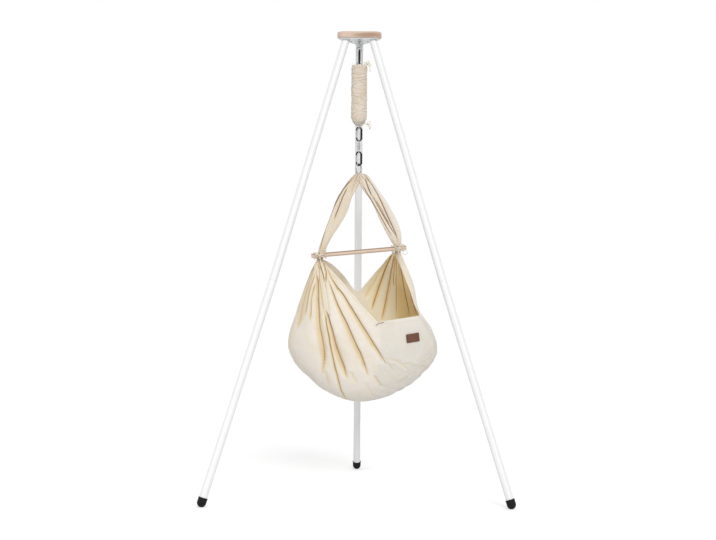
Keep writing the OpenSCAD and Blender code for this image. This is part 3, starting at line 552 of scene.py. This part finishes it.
# ---- Mattress ----
MAT_U, MAT_S, MAT_T = (3.0, 9.0), 0.26, 17.0
MAT_GAP = 3.6  # from the cloth's inner face
U3, S3 = np.meshgrid(np.linspace(*MAT_U, 60), np.linspace(-MAT_S, MAT_S, 40), indexing="ij")
P3, IN3 = bag_smooth(U3, S3)
rim_u = np.clip(np.minimum(U3 - MAT_U[0], MAT_U[1] - U3) / 0.35, 0, 1)
rim_s = np.clip((MAT_S - np.abs(S3)) / 0.05, 0, 1)
thick = MAT_T * np.sqrt(np.clip(np.minimum(rim_u, rim_s), 0.02, 1))
N3 = grid_normals(P3)
N3 *= np.sign((N3 * IN3).sum())
M_LOW = P3 + N3 * (CLOTH_T + MAT_GAP)
mattress = closed_sheet("mattress_pad", M_LOW, M_LOW + N3 * thick[..., None], mat_mattress)
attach(mattress, "cradle")
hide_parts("mattress")


# ---- Straps ----
def along_line(points, t):
    """Points at fractions t of a polyline's length, smoothed by a spline."""
    p = np.array(points, float)
    d = np.concatenate([[0], np.cumsum(np.linalg.norm(np.diff(p, axis=0), axis=1))])
    d /= d[-1]
    n = len(p)
    i = np.clip(np.searchsorted(d, t, side="right") - 1, 0, n - 2)
    m = np.gradient(p, d, axis=0)
    h = (d[i + 1] - d[i])[:, None]
    x = ((t - d[i]) / (d[i + 1] - d[i]))[:, None]
    h00, h10 = 2 * x ** 3 - 3 * x ** 2 + 1, x ** 3 - 2 * x ** 2 + x
    h01, h11 = -2 * x ** 3 + 3 * x ** 2, x ** 3 - x ** 2
    return h00 * p[i] + h10 * h * m[i] + h01 * p[i + 1] + h11 * h * m[i + 1]


BUNDLE_WRAP, BUNDLE_DEPTH = 150, 12.5


def strap_grid(outer, inner, wrap_mid, depth_mid, nt=150, nw=130):
    """Cloth band between two edges in the XZ plane, wrapped into a bundle at both ends. In its middle its
    sides turn back by wrap_mid degrees."""
    t = np.linspace(0, 1, nt)
    w = np.linspace(0, 1, nw)
    eo, ei = along_line(outer, t), along_line(inner, t)
    mid, half = (eo + ei) / 2, (ei - eo) / 2
    ends = np.clip(1 - np.minimum(t / 0.16, (1 - t) / 0.16), 0, 1) ** 1.5
    wrap = np.radians(wrap_mid + (BUNDLE_WRAP - wrap_mid) * ends)
    depth = depth_mid + (BUNDLE_DEPTH - depth_mid) * ends
    phi = -wrap[:, None] + (np.pi + 2 * wrap[:, None]) * w[None, :]
    c, s = -np.cos(phi), np.sin(phi)
    grid = np.zeros((nt, nw, 3))
    grid[..., 0] = mid[:, :1] + half[:, :1] * c
    grid[..., 2] = mid[:, 1:] + half[:, 1:] * c
    grid[..., 1] = -depth[:, None] * s
    return grid, t[:, None] + 0 * w[None, :], s


def folded_strap(grid, t, facing_front, creases, gathers, base_shade):
    """The strap's grid with its creases pressed in, and its painted shade."""
    n = grid_normals(grid)
    n *= np.sign(-n[..., 1:2] * np.where(facing_front >= 0, 1, -1)[..., None] + 1e-9)
    depth, tone = crease_field(grid_to_picture(grid), creases, facing_front > -0.2)
    ends = np.clip(1 - np.minimum(t / 0.2, (1 - t) / 0.2), 0, 1)
    pleat = (0.5 - 0.5 * np.cos(2 * np.pi * gathers * np.linspace(0, 1, t.shape[1])[None, :])) ** 1.5
    depth = depth + 2.2 * ends * pleat
    # painted shade: the creases' own, over a base shade, and darker in the pleats near the ends
    tone = np.maximum(1.1 * tone, base_shade + 0.5 * ends * pleat)
    return grid - n * depth[..., None], np.clip(tone, 0, 1)


def cloth_shell(name, grid, thickness, material):
    """Closed sheet of the given thickness about a grid in millimetres."""
    n = grid_normals(grid)
    return closed_sheet(name, grid - n * thickness / 2, grid + n * thickness / 2, material)


# The straps' creases, with their painted shade, as for the bag
LEFT_STRAP_CREASES = [
    ([(353.4, 177.5), (347.4, 183.5), (342.2, 190.2), (336.4, 200.9), (332.3, 209.3), (328.3, 218.5),
      (324.7, 230), (321.6, 241.4), (319.8, 250)], 5, (1.2, 1.2), EVEN, 1.0),
    ([(347.5, 188), (343.3, 196), (339.4, 206), (334, 220)], 4, (0.9, 1.3), (1.4, 0.6), 0.9),
    ([(358, 174), (355, 184), (351, 194)], 3, (0.7, 1.4), EVEN, 0.45),
    ([(344, 201), (337, 217), (331, 229)], 2, (1.0, 2.2), EVEN, 0.35),
]
RIGHT_STRAP_CREASES = [
    ([(365.2, 178), (368.1, 187.5), (371.4, 196)], 8, (0.8, 1.2), EVEN, 0.95),
    ([(364.3, 173.8), (371.2, 183), (377.3, 193), (381.9, 203), (385.7, 212), (391, 223.5),
      (395.6, 233.5), (398.2, 243)], 10, (0.8, 1.2), (0.7, 1.4), 0.9),
    ([(371.2, 194.4), (376.5, 203.6), (381.1, 212), (386.5, 221.2), (391.8, 229.6), (396.4, 236.5)],
     7, (0.6, 1.0), EVEN, 0.85),
    ([(361.6, 183.6), (367.8, 194.8), (374.6, 206.2), (380.8, 217), (386.8, 228.2), (393, 238.4)],
     3, (0.65, 0.9), EVEN, 0.8),
    ([(375.7, 200.5), (380.3, 207.4), (384.9, 216.6), (390.3, 225)], 4, (0.6, 0.9), EVEN, 0.7),
]
# The straps' edges in the XZ plane, from the ring down
LEFT_OUTER = [(-9, 1326), (-24, 1312), (-45, 1289), (-85, 1230), (-112, 1166), (-139, 1091), (-163, 1008),
              (-172, 967)]
LEFT_INNER = [(7, 1322), (8, 1300), (4, 1285), (-25, 1230), (-48, 1162), (-76, 1111), (-107, 1064),
              (-131, 1016), (-146, 967)]
RIGHT_OUTER = [(6, 1324), (30, 1320), (58, 1291), (84, 1253), (109, 1218), (138, 1168), (165, 1114),
               (177, 1070), (178, 1036), (176, 997)]
RIGHT_INNER = [(-4, 1318), (6, 1278), (54, 1206), (86, 1139), (114, 1083), (136, 1044), (150, 1020),
               (152, 997)]
STRAP_T = 1.8
STRAP_PLEATS = 9
left_grid, left_t, left_front = strap_grid(LEFT_OUTER, LEFT_INNER, 8, 7)
right_grid, right_t, right_front = strap_grid(RIGHT_INNER, RIGHT_OUTER, 25, 13)
left_grid, left_shade = folded_strap(left_grid, left_t, left_front, LEFT_STRAP_CREASES, STRAP_PLEATS, 0.3)
across = np.linspace(0, 1, right_grid.shape[1])[None, :]
# The right strap takes less painted shade towards its outer edge
less_shaded_side = smooth(across, 0.62, 0.74) * np.clip(np.minimum(right_t / 0.25, (1 - right_t) / 0.12), 0, 1)
right_grid, right_shade = folded_strap(right_grid, right_t, right_front, RIGHT_STRAP_CREASES, STRAP_PLEATS,
                                      0.2 - 0.18 * less_shaded_side)
strap_l = cloth_shell("strap_left_cloth", left_grid, STRAP_T, mat_strap_shaded)
strap_r = cloth_shell("strap_right_cloth", right_grid, STRAP_T, mat_strap_shaded)
set_painted_shade(strap_l, left_shade, left_shade)
set_painted_shade(strap_r, right_shade, right_shade)
for ob, node in ((strap_l, "strap_left"), (strap_r, "strap_right")):
    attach(ob, "cradle")
    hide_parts(node)


# ---- Tubes along points ----
def tube_geometry(points, radius, sides=10, closed=False, twist=0.0, lobes=0, lobe_depth=0.0):
    """Tube about points in metres; with lobes it is a laid cord, whose strands turn by twist per metre."""
    p = np.array(points, float)
    n = len(p)
    if closed:
        tan = np.roll(p, -1, 0) - np.roll(p, 1, 0)
    else:
        tan = np.gradient(p, axis=0)
    tan /= np.linalg.norm(tan, axis=1)[:, None]
    side = np.cross(tan[0], (0.3, 0.5, 0.8))
    frames = []
    for v in tan:
        side = side - v * (side @ v)
        side /= np.linalg.norm(side)
        frames.append((side.copy(), np.cross(v, side)))
    dist = np.concatenate([[0], np.cumsum(np.linalg.norm(np.diff(p, axis=0), axis=1))])
    verts = []
    for i, (a, b) in enumerate(frames):
        for k in range(sides):
            ang = math.tau * k / sides
            groove = 0.5 - 0.5 * math.cos(lobes * (ang + twist * dist[i]))
            r = radius * (1 - lobe_depth * groove)
            verts.append(p[i] + r * (math.cos(ang) * a + math.sin(ang) * b))
    last = n if closed else n - 1
    faces = [(i * sides + k, ((i + 1) % n) * sides + k, ((i + 1) % n) * sides + (k + 1) % sides,
              i * sides + (k + 1) % sides) for i in range(last) for k in range(sides)]
    if not closed:
        faces += [tuple(range(sides)), tuple(reversed(range((n - 1) * sides, n * sides)))]
    return verts, faces


LAID = {"sides": 12, "lobes": 3, "lobe_depth": 0.22, "twist": 260}


def cord_piece(name, route, node, body, radius, count):
    """A cord along its route in millimetres, drawn as count rings, which ends in a knot."""
    pts = to_row(route)
    line = along_line(pts, np.linspace(0, 1, count))
    ob = mesh_object(name, *tube_geometry(line, radius, **LAID), mat_cord)
    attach(ob, body)
    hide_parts(node)


def trefoil(count, depth):
    """Line of an overhand knot pulled tight."""
    t = np.linspace(0, math.tau, count, endpoint=False)
    return np.stack([np.sin(t) + 2 * np.sin(2 * t), np.cos(t) - 2 * np.cos(2 * t), -depth * np.sin(3 * t)], 1)


def knot_piece(name, centre, radius, body):
    line = trefoil(60, 1.3) * radius * 0.52 + centre
    ob = mesh_object(name, *tube_geometry(line, radius * 0.85, closed=True), mat_cord)
    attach(ob, body)
    return ob


# Routes of the cords' ends, from their knots down, in millimetres about the suspension's axis
TAIL_LEFT = [(-157, -50, 978), (-156, -50, 968), (-152, -54, 950), (-146, -60, 932), (-140, -68, 910),
             (-135, -80, 888), (-130, -94, 864), (-126, -108, 840), (-122, -122, 815), (-118, -134, 790),
             (-115, -144, 768), (-114, -151, 748)]
TAIL_RIGHT = [(163, -50, 1008.5), (164, -50, 1001), (169, -51, 988), (173, -52, 976), (176, -52, 964),
              (177, -52, 952)]
SLEEVE_TAIL_TOP = [(18, -10, 1769), (26, -14, 1772), (34, -17, 1771), (40, -18, 1765), (43, -18, 1756),
                   (44, -18, 1746)]
SLEEVE_TAIL_LOW = [(22.5, -4, 1527), (31, -6, 1527), (38, -8, 1524), (43, -9, 1517), (45, -9, 1508)]


def bow_loop_points(angle, length, width, knot_y, start):
    """A bow's loop, turned by its angle about the view and begun at a distance from the knot's middle."""
    a = np.linspace(0, math.tau, 40, endpoint=False)
    x = width / 2 * np.sin(a) * (0.6 + 0.4 * (1 - np.cos(a)) / 2)
    z = start + length / 2 * (1 - np.cos(a))
    c, s = math.cos(math.radians(angle)), math.sin(math.radians(angle))
    return np.stack([c * x + s * z, -2.5 * np.sin(a / 2) ** 2 + knot_y, -s * x + c * z], 1)


def joined_mesh(name, parts, material):
    """One mesh of several tubes."""
    verts, faces = [], []
    for v, f in parts:
        faces += [tuple(i + len(verts) for i in q) for q in f]
        verts += list(v)
    return mesh_object(name, verts, faces, material)


# The bows of the sleeve's drawstrings: where each is tied, the angle, length and width of its loops, and
# its cord's radius
SLEEVE_BOWS = {
    "sleeve_top_cord": ((31, -20, 1771), ((35, 14, 9), (100, 17, 9), (-50, 11, 8)), 2.0),
    "sleeve_low_cord": ((32, -12, 1527), ((60, 17, 11), (128, 22, 12)), 1.6)}
for name, route, node, body, radius, count in (
        ("tail_left_cord", TAIL_LEFT, "tie_tail_left", "cradle", 0.002, 120),
        ("tail_right_cord", TAIL_RIGHT, "tie_tail_right", "cradle", 0.002, 40),
        ("sleeve_top_cord", SLEEVE_TAIL_TOP, "sleeve_tail_top", "spring_top", 0.0015, 40),
        ("sleeve_low_cord", SLEEVE_TAIL_LOW, "sleeve_tail_low", "spring_low", 0.0015, 30)):
    end = to_row(route[-1]) - np.array((0, 0, radius))
    going = [knot_piece(name.replace("_cord", "_knot"), end, radius, body)]
    if name in SLEEVE_BOWS:
        tied, bow_loops, bow_r = SLEEVE_BOWS[name]
        parts = [tube_geometry(to_row(bow_loop_points(*lp, 0, 1.0) + np.array(tied)), bow_r * MM,
                               closed=True, **LAID) for lp in bow_loops]
        bow = joined_mesh(name.replace("_cord", "_bow"), parts, mat_cord)
        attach(bow, body)
        going.append(bow)
    cord_piece(name, route, node, body, radius, count)


# ---- Ties: the turns round cloth and bar, with a knot and bow loops ----
BAR_TILT = math.radians(5.4)
BAR_Y, BAR_R = -26.3, 9.0
TIE_R, TIE_HALF_W, TIE_RISE, TURN_STEP = 2.0, 24.0, 14.5, 4.8
TIE_FRONT_Y = BAR_Y - BAR_R - TIE_R - 1.4
KNOT_R, KNOT_CORD_R = 4.4, 0.0018


def tie_turn_points(way, over):
    """A turn of cord that climbs to one side, way 1 or -1, and lies over the bar by a distance."""
    front = TIE_FRONT_Y - over + TIE_HALF_W
    pts = []
    for end, base in ((0, over), (1, front)):
        for a in np.linspace(0, math.pi, 30) + math.pi * end:
            y = TIE_HALF_W * math.sin(a) + base
            climb = max(0, min(1, (TIE_HALF_W - y) / (TIE_HALF_W - BAR_Y - BAR_R)))
            pts.append((TIE_HALF_W * math.cos(a), y, way * TIE_RISE * climb * math.cos(a)))
    return np.array(pts)


def in_tie(p, gather):
    """Points in millimetres about a gather, turned with the bar, in the row frame."""
    c, s = math.cos(BAR_TILT), math.sin(BAR_TILT)
    x, z = gather[0] + c * p[:, 0] - s * p[:, 2], gather[1] + s * p[:, 0] + c * p[:, 2]
    return to_row(np.stack([x, p[:, 1], z], 1))


for name, gather, bows in (("left", GATHER_L, ((55, 27, 17), (-60, 16, 9))),
                           ("right", GATHER_R, ((125, 38, 20), (62, 22, 13)))):
    knot_y = TIE_FRONT_Y - TURN_STEP - TIE_R - SEAT_GAP - KNOT_R
    parts = []
    for way, over in ((1, 0.0), (-1, TURN_STEP)):
        pts = in_tie(tie_turn_points(way, over), gather)
        parts.append(tube_geometry(pts, TIE_R * MM, closed=True, **LAID))
    for ang, loop_l, loop_w in bows:
        pts = in_tie(bow_loop_points(ang, loop_l, loop_w, knot_y, KNOT_R + 1.5), gather)
        parts.append(tube_geometry(pts, 0.8 * TIE_R * MM, closed=True, **LAID))
    knot = trefoil(70, 1.1)[:, (0, 2, 1)] * 1.25 + np.array((0, knot_y, 0))
    parts.append(tube_geometry(in_tie(knot, gather), KNOT_CORD_R, closed=True))
    tie = joined_mesh(f"tie_{name}_cord", parts, mat_cord)
    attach(tie, "cradle")
    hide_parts(f"tie_{name}")

# ---- Ruched sleeve: gathered cotton pushed up over the spring ----
SLEEVE_TOP, SLEEVE_LOW, SLEEVE_R, SLEEVE_BORE = 1767.1, 1521.1, 35.0, 22.7
SLEEVE_FOLDS, SLEEVE_NECK, SLEEVE_NECK_R = 15, 30, 15.5
tz = np.linspace(0, 1, 360)[:, None]
ta = np.linspace(0, math.tau, 170)[None, :]
rng = np.random.default_rng(11)


def ruffle_waves(count, turns, lean):
    """Sum of waves round and along the sleeve: turns is the range of folds along it, lean their slant."""
    total = 0 * tz + 0 * ta
    for _ in range(count):
        k, m = rng.uniform(*turns), rng.integers(-lean, lean + 1)
        total = total + np.sin(math.tau * k * tz + m * ta + rng.uniform(0, 6.28))
    return total / math.sqrt(count)


slant = 1.3 * ruffle_waves(4, (1, 4), 2)
ridge = np.abs(np.sin(math.pi * SLEEVE_FOLDS * tz + slant + 0.5 * ruffle_waves(5, (6, 14), 5)))
small = ruffle_waves(12, (24, 48), 9)
swell = ruffle_waves(5, (2, 6), 3)
r_out = SLEEVE_R - 2.2 - 2.0 * (1 - ridge) ** 1.4 * (1 + 0.5 * swell) + 0.55 * small + 0.8 * swell
z_out = SLEEVE_LOW + (SLEEVE_TOP - SLEEVE_LOW) * tz
z_out = z_out + 2.0 * ruffle_waves(4, (3, 8), 4) * np.clip(tz / 0.05, 0, 1) * np.clip((1 - tz) / 0.05, 0, 1)
# drawn in at the foot, with an open ruffle at the top
from_low = np.clip((z_out - SLEEVE_LOW) / SLEEVE_NECK, 0, 1)
drawn = (SLEEVE_R - SLEEVE_NECK_R) * (1 - from_low ** 0.8) ** 1.25
r_out = np.maximum(r_out - drawn + 1.5 * (1 - from_low) * np.sin(13 * ta + slant), 13.0)
top_ruffle = np.clip((tz - 0.955) / 0.045, 0, 1)
r_out = r_out + top_ruffle * (-2.5 + 2.2 * np.sin(9 * ta + 1) + 1.2 * np.sin(14 * ta))
z_out = z_out + top_ruffle * (1.5 * np.sin(7 * ta) + 1.5)
r_out = np.minimum(r_out, SLEEVE_R + 1.4)
r_in = np.minimum(r_out - 1.6, SLEEVE_BORE + 1.5 + 0 * r_out)
r_in = np.maximum(r_in, np.minimum(SLEEVE_BORE + 0.4, r_out - 1.0))
outer, inner = (np.stack([r * np.cos(ta), r * np.sin(ta), z_out + 0 * ta], -1) for r in (r_out, r_in))
sleeve = closed_sheet("sleeve_cloth", outer, inner, mat_sleeve)
# Painted shade in the valleys between the sleeve's ruffles
sleeve_fold_shade = np.clip(0.3 * (1 - ridge) ** 2 - 0.05 * small, 0, 1) + 0 * ta
set_painted_shade(sleeve, sleeve_fold_shade, sleeve_fold_shade)
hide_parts("spring_sleeve")
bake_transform(sleeve)


# ---- Metal, wood, rubber ----
def hard_surface(name, colour, rough, metallic=1.0, scale=60.0, coat=0.0, bump=0.08, shade=0.86,
                 specular=0.5):
    """Metal, coating or rubber, mottled down to shade times its colour."""
    m, nt, bsdf, coord = new_material(name)
    n = add_noise(nt, coord, scale, 4.0, 0.6)
    dark = tuple(shade * c for c in colour)
    nt.links.new(add_ramp(nt, n, [(0.3, dark), (0.65, colour)]), bsdf.inputs["Base Color"])
    r = nt.nodes.new("ShaderNodeMapRange")
    set_inputs(r, {"To Min": max(0.03, rough - 0.06), "To Max": rough + 0.08})
    nt.links.new(n, r.inputs["Value"])
    nt.links.new(r.outputs["Result"], bsdf.inputs["Roughness"])
    set_inputs(bsdf, {"Metallic": metallic, "Coat Weight": coat, "Specular IOR Level": specular})
    add_bump(nt, bsdf, add_noise(nt, coord, scale * 12, 2.0, 0.5), bump, 0.0003)
    return m


mat_white = hard_surface("white_coating", (0.875, 0.88, 0.885), 0.34, 0.0, 18.0, 0.15, 0.04, 0.975)
# The bracket: the white coating greyed, painted shade of its underside
mat_bracket_shaded = hard_surface("white_coating_shaded", (0.74, 0.75, 0.76), 0.38, 0.0, 18.0, 0.1, 0.04, 0.97)
mat_steel = hard_surface("steel", (0.42, 0.43, 0.44), 0.24)
mat_black = hard_surface("black_steel", (0.004, 0.004, 0.005), 0.5, 0.0, 45.0, specular=0.25)
mat_rubber = hard_surface("black_rubber", (0.006, 0.006, 0.007), 0.7, 0.0, 30.0, bump=0.25, specular=0.2)


def wood(name, pale, deep, direction, ring_scale=26.0, dark_band=None):
    """Straight-grained beech with short dark flecks; direction stretches the grain, and an optional darker
    band, given by its centre, turn about Y, half sizes and depth of tone, darkens the wood inside an
    ellipsoid."""
    m, nt, bsdf, coord = new_material(name)
    grain = add_noise(nt, coord, ring_scale, 5.0, 0.55, direction)
    between = tuple(0.5 * (a + b) for a, b in zip(pale, deep))
    base = add_ramp(nt, grain, [(0.32, deep), (0.5, pale), (0.7, between)])
    fleck = add_noise(nt, coord, ring_scale * 14, 2.0, 0.5, direction)
    flecks = add_ramp(nt, fleck, [(0.62, (1, 1, 1)), (0.72, (0.74, 0.62, 0.5))])
    colour = multiply(nt, 0.55, base, flecks)
    if dark_band:
        place, turn, half, depth = dark_band
        mp = nt.nodes.new("ShaderNodeMapping")
        mp.vector_type = "TEXTURE"
        set_inputs(mp, {"Location": place, "Rotation": (0, turn, 0), "Scale": half})
        nt.links.new(coord, mp.inputs["Vector"])
        ball = nt.nodes.new("ShaderNodeTexGradient")
        ball.gradient_type = "SPHERICAL"
        nt.links.new(mp.outputs["Vector"], ball.inputs["Vector"])
        streak = add_ramp(nt, ball.outputs["Fac"], [(0.05, (1, 1, 1)), (0.55, depth)])
        colour = multiply(nt, 1.0, colour, streak)
    nt.links.new(colour, bsdf.inputs["Base Color"])
    set_inputs(bsdf, {"Roughness": 0.45, "Coat Weight": 0.12})
    add_bump(nt, bsdf, fleck, 0.15, 0.0004)
    return m


mat_plate = wood("beech_plate", (0.68, 0.52, 0.42), (0.52, 0.36, 0.26), (0.12, 1.0, 1.0),
                 dark_band=((0.03, -0.27, 1.884), 0.0, (0.075, 0.2, 0.012), (0.62, 0.52, 0.44)))
# The bar's darker band is painted shade along its upper front side
mat_bar = wood("beech_bar", (0.74, 0.58, 0.46), (0.60, 0.45, 0.34), (0.08, 1.0, 1.0), 60.0,
               dark_band=((0.0, -0.205, 1.007), -BAR_TILT, (0.6, 0.012, 0.0085), (0.42, 0.33, 0.26)))


def dress(names, material):
    for n in names:
        ob = NODES[n]
        ob.data.materials.clear()
        ob.data.materials.append(material)


dress([n for n in NODES if n.startswith("leg_")], mat_white)
dress(["head_bracket"], mat_bracket_shaded)
dress(["foot_left", "foot_right", "foot_back"], mat_rubber)
dress(["top_plate"], mat_plate)
dress(["spreader_bar"], mat_bar)
dress(["hook_top", "hook_mid", "hook_low"], mat_black)
dress([n for n in NODES if n.startswith("gate_")] + ["eye_bolt", "eye_nut", "head_screws", "spring_end_top",
      "spring_end_low", "spring_coil", "swivel_upper", "swivel_lower", "cradle_ring"], mat_steel)


# ---- Leather patch: a bare piece sewn to the panel ----
def mottled(name, noise, dark, light, rough):
    m, nt, bsdf, coord = new_material(name)
    tone = add_ramp(nt, add_noise(nt, coord, *noise), [(0.3, dark), (0.7, light)])
    nt.links.new(tone, bsdf.inputs["Base Color"])
    bsdf.inputs["Roughness"].default_value = rough
    return m, nt, bsdf, coord


mat_thread = mottled("stitch_thread", (900.0,), (0.16, 0.09, 0.06), (0.24, 0.14, 0.09), 0.8)[0]
mat_leather, nt, bsdf, coord = mottled("brown_leather", (60.0, 4.0, 0.6), (0.105, 0.038, 0.019),
                                       (0.165, 0.062, 0.032), 0.52)
pores = nt.nodes.new("ShaderNodeTexVoronoi")
pores.inputs["Scale"].default_value = 900
nt.links.new(coord, pores.inputs["Vector"])
add_bump(nt, bsdf, pores.outputs["Distance"], 0.35, 0.0005)
PATCH_W, PATCH_H, PATCH_T = 0.054, 0.036, 0.0016
patch_points = np.array([v.co for v in NODES["label_patch"].data.vertices])
PATCH_MID = patch_points.mean(0)


def box_axes(corners, sizes):
    """Unit directions of a box's width, height and thickness."""
    diffs = corners[None] - corners[:, None]
    lens = np.linalg.norm(diffs, axis=-1)
    out = []
    for want in sizes:
        i, j = np.unravel_index(np.argmin(np.abs(lens - want)), lens.shape)
        out.append(diffs[i, j] / lens[i, j])
    return out


# The patch's own directions from its box's corners: to its right, up, and out to the front
AX_W, AX_H, AX_T = box_axes(np.unique(np.round(patch_points, 5), axis=0), (PATCH_W, PATCH_H, PATCH_T))
AX_W = AX_W * np.sign(AX_W[0])
AX_H = AX_H * np.sign(AX_H[2])
AX_T = AX_T * -np.sign(AX_T[1])


def patch_point(x, y, z):
    return PATCH_MID + AX_W * x + AX_H * y + AX_T * z


def rounded_rect(w, h, r, per=8):
    """Points of a rounded rectangle, with per steps in each corner."""
    pts = []
    x, y = w / 2 - r, h / 2 - r
    for cx, cy, a0 in ((x, y, 0), (-x, y, 90), (-x, -y, 180), (x, -y, 270)):
        for k in range(per + 1):
            a = math.radians(a0 + 90 * k / per)
            pts.append((cx + r * math.cos(a), cy + r * math.sin(a)))
    return pts


# Loops of the patch from back to front: how far each lies in from the edge, and its height over the
# front face
PATCH_LOOPS = ((0.0, -PATCH_T), (0.0, -0.0005), (0.0004, -0.0001), (0.001, 0), (0.002, -0.00012),
               (0.0026, 0), (0.006, 0.0001))
verts = []
for inset, height in PATCH_LOOPS:
    loop = rounded_rect(PATCH_W - 2 * inset, PATCH_H - 2 * inset, 0.003 - 0.4 * inset)
    verts += [patch_point(x, y, PATCH_T / 2 + height) for x, y in loop]
n = len(loop)
faces = [(i * n + k, i * n + (k + 1) % n, (i + 1) * n + (k + 1) % n, (i + 1) * n + k)
         for i in range(len(PATCH_LOOPS) - 1) for k in range(n)]
faces += [tuple(reversed(range(n))), tuple(range(len(verts) - n, len(verts)))]
patch = mesh_object("leather_patch", verts, faces, mat_leather)
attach(patch, "cradle")
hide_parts("label_patch")

SEAM_INSET = 0.0023
STITCH, PITCH = 0.0019, 0.0027
STITCH_HIGH, STITCH_WIDE, SIDES = 0.00022, 0.00028, 6
seam = rounded_rect(PATCH_W - 2 * SEAM_INSET, PATCH_H - 2 * SEAM_INSET, 0.002, 6)
line = np.array([patch_point(x, y, PATCH_T / 2) for x, y in seam + seam[:1]])
dist = np.concatenate([[0], np.cumsum(np.linalg.norm(np.diff(line, axis=0), axis=1))])
verts, faces = [], []
for start in np.arange(0, dist[-1] - PITCH / 2, PITCH):
    places = [np.array([np.interp(d, dist, line[:, j]) for j in range(3)])
              for d in (start, start + STITCH / 2, start + STITCH)]
    base = len(verts)
    along = (places[2] - places[0]) / np.linalg.norm(places[2] - places[0])
    side = np.cross(AX_T, along)
    for p, lift in zip(places, (-0.0001, 0.00035, -0.0001)):
        for k in range(SIDES):
            a = math.tau * k / SIDES
            verts.append(p + AX_T * (lift + STITCH_HIGH * math.sin(a)) + side * STITCH_WIDE * math.cos(a))
    for ring in (base, base + SIDES):
        for k in range(SIDES):
            k2 = (k + 1) % SIDES
            faces.append((ring + k, ring + k2, ring + SIDES + k2, ring + SIDES + k))
    faces += [tuple(reversed(range(base, base + SIDES))), tuple(range(base + 2 * SIDES, base + 3 * SIDES))]
stitches = mesh_object("patch_stitches", verts, faces, mat_thread)
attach(stitches, "cradle")

# Dark thread at the corner where the rim meets the panel: each stitch's ends in the picture
CORNER_OUT, CORNER_R = 0.0034, 0.0011
CORNER_STITCHES = np.array([((375.8, 325.6), (379.4, 322.6)), ((380.0, 323.4), (381.6, 322.8)),
                            ((382.0, 322.6), (383.6, 322.2))])
near_pts = to_row(P_OUT)[:, :NS // 4].reshape(-1, 3)
near_px = to_picture(near_pts)
parts = []
for a, b in CORNER_STITCHES:
    ends = [near_pts[np.argmin(((near_px - q) ** 2).sum(-1))] for q in (a, (a + b) / 2, b)]
    parts.append(tube_geometry([e - np.array((0, CORNER_OUT, 0)) for e in ends], CORNER_R, sides=8))
corner = joined_mesh("corner_stitches", parts, mat_thread)
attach(corner, "cradle")


# ---- Floor, light, world ----
def by_ray(nt, other, seen, output):
    """Links to the output a shader that camera and mirror rays see as seen, and other rays as other."""
    path = nt.nodes.new("ShaderNodeLightPath")
    either = nt.nodes.new("ShaderNodeMath")
    either.operation = "MAXIMUM"
    for k, ray in enumerate(("Is Camera Ray", "Is Glossy Ray")):
        nt.links.new(path.outputs[ray], either.inputs[k])
    pick = nt.nodes.new("ShaderNodeMixShader")
    for source, socket in ((either, 0), (other, 1), (seen, 2)):
        nt.links.new(source.outputs[0], pick.inputs[socket])
    nt.links.new(pick.outputs[0], output.inputs["Surface"])


def white_shader(nt, kind, strength):
    node = nt.nodes.new(kind)
    set_inputs(node, {"Color": (1, 1, 1, 1), "Strength": strength})
    return node


bpy.ops.mesh.primitive_plane_add(size=30, location=(0, 0, 0))
floor = bpy.context.active_object
floor.name = "floor"
mat_floor = bpy.data.materials.new("floor")
mat_floor.use_nodes = True
nt = mat_floor.node_tree
nt.nodes.clear()
diffuse = nt.nodes.new("ShaderNodeBsdfDiffuse")
diffuse.inputs["Color"].default_value = (0.82, 0.82, 0.82, 1)
glow = white_shader(nt, "ShaderNodeEmission", 0.36)
both = nt.nodes.new("ShaderNodeAddShader")
nt.links.new(diffuse.outputs[0], both.inputs[0])
nt.links.new(glow.outputs[0], both.inputs[1])
by_ray(nt, diffuse, both, nt.nodes.new("ShaderNodeOutputMaterial"))
floor.data.materials.append(mat_floor)

world = bpy.data.worlds.new("world")
bpy.context.scene.world = world
world.use_nodes = True
nt = world.node_tree
nt.nodes.clear()
by_ray(nt, white_shader(nt, "ShaderNodeBackground", 0.60), white_shader(nt, "ShaderNodeBackground", 1.0),
       nt.nodes.new("ShaderNodeOutputWorld"))


def add_light(data, power, direction):
    """Object of a light that shines along a direction."""
    data.energy = power
    ob = new_object(data.name, data)
    ob.rotation_euler = Vector(direction).to_track_quat("-Z", "Y").to_euler()
    return ob


key = bpy.data.lights.new("key", "SUN")
key.angle = math.radians(24)
add_light(key, 1.3, (-0.22, 0.9, -0.52))
for name, place, target, power in (("fill", (-3.2, -3.6, 1.6), (0, 0, 0.9), 22),
                                   ("back", (0.6, 3.2, 2.4), (0, -0.1, 0.8), 12)):
    area = bpy.data.lights.new(name, "AREA")
    area.shape, area.size = "SQUARE", 2.5
    add_light(area, power, Vector(target) - Vector(place)).location = place
bpy.context.scene.view_settings.view_transform = "Standard"
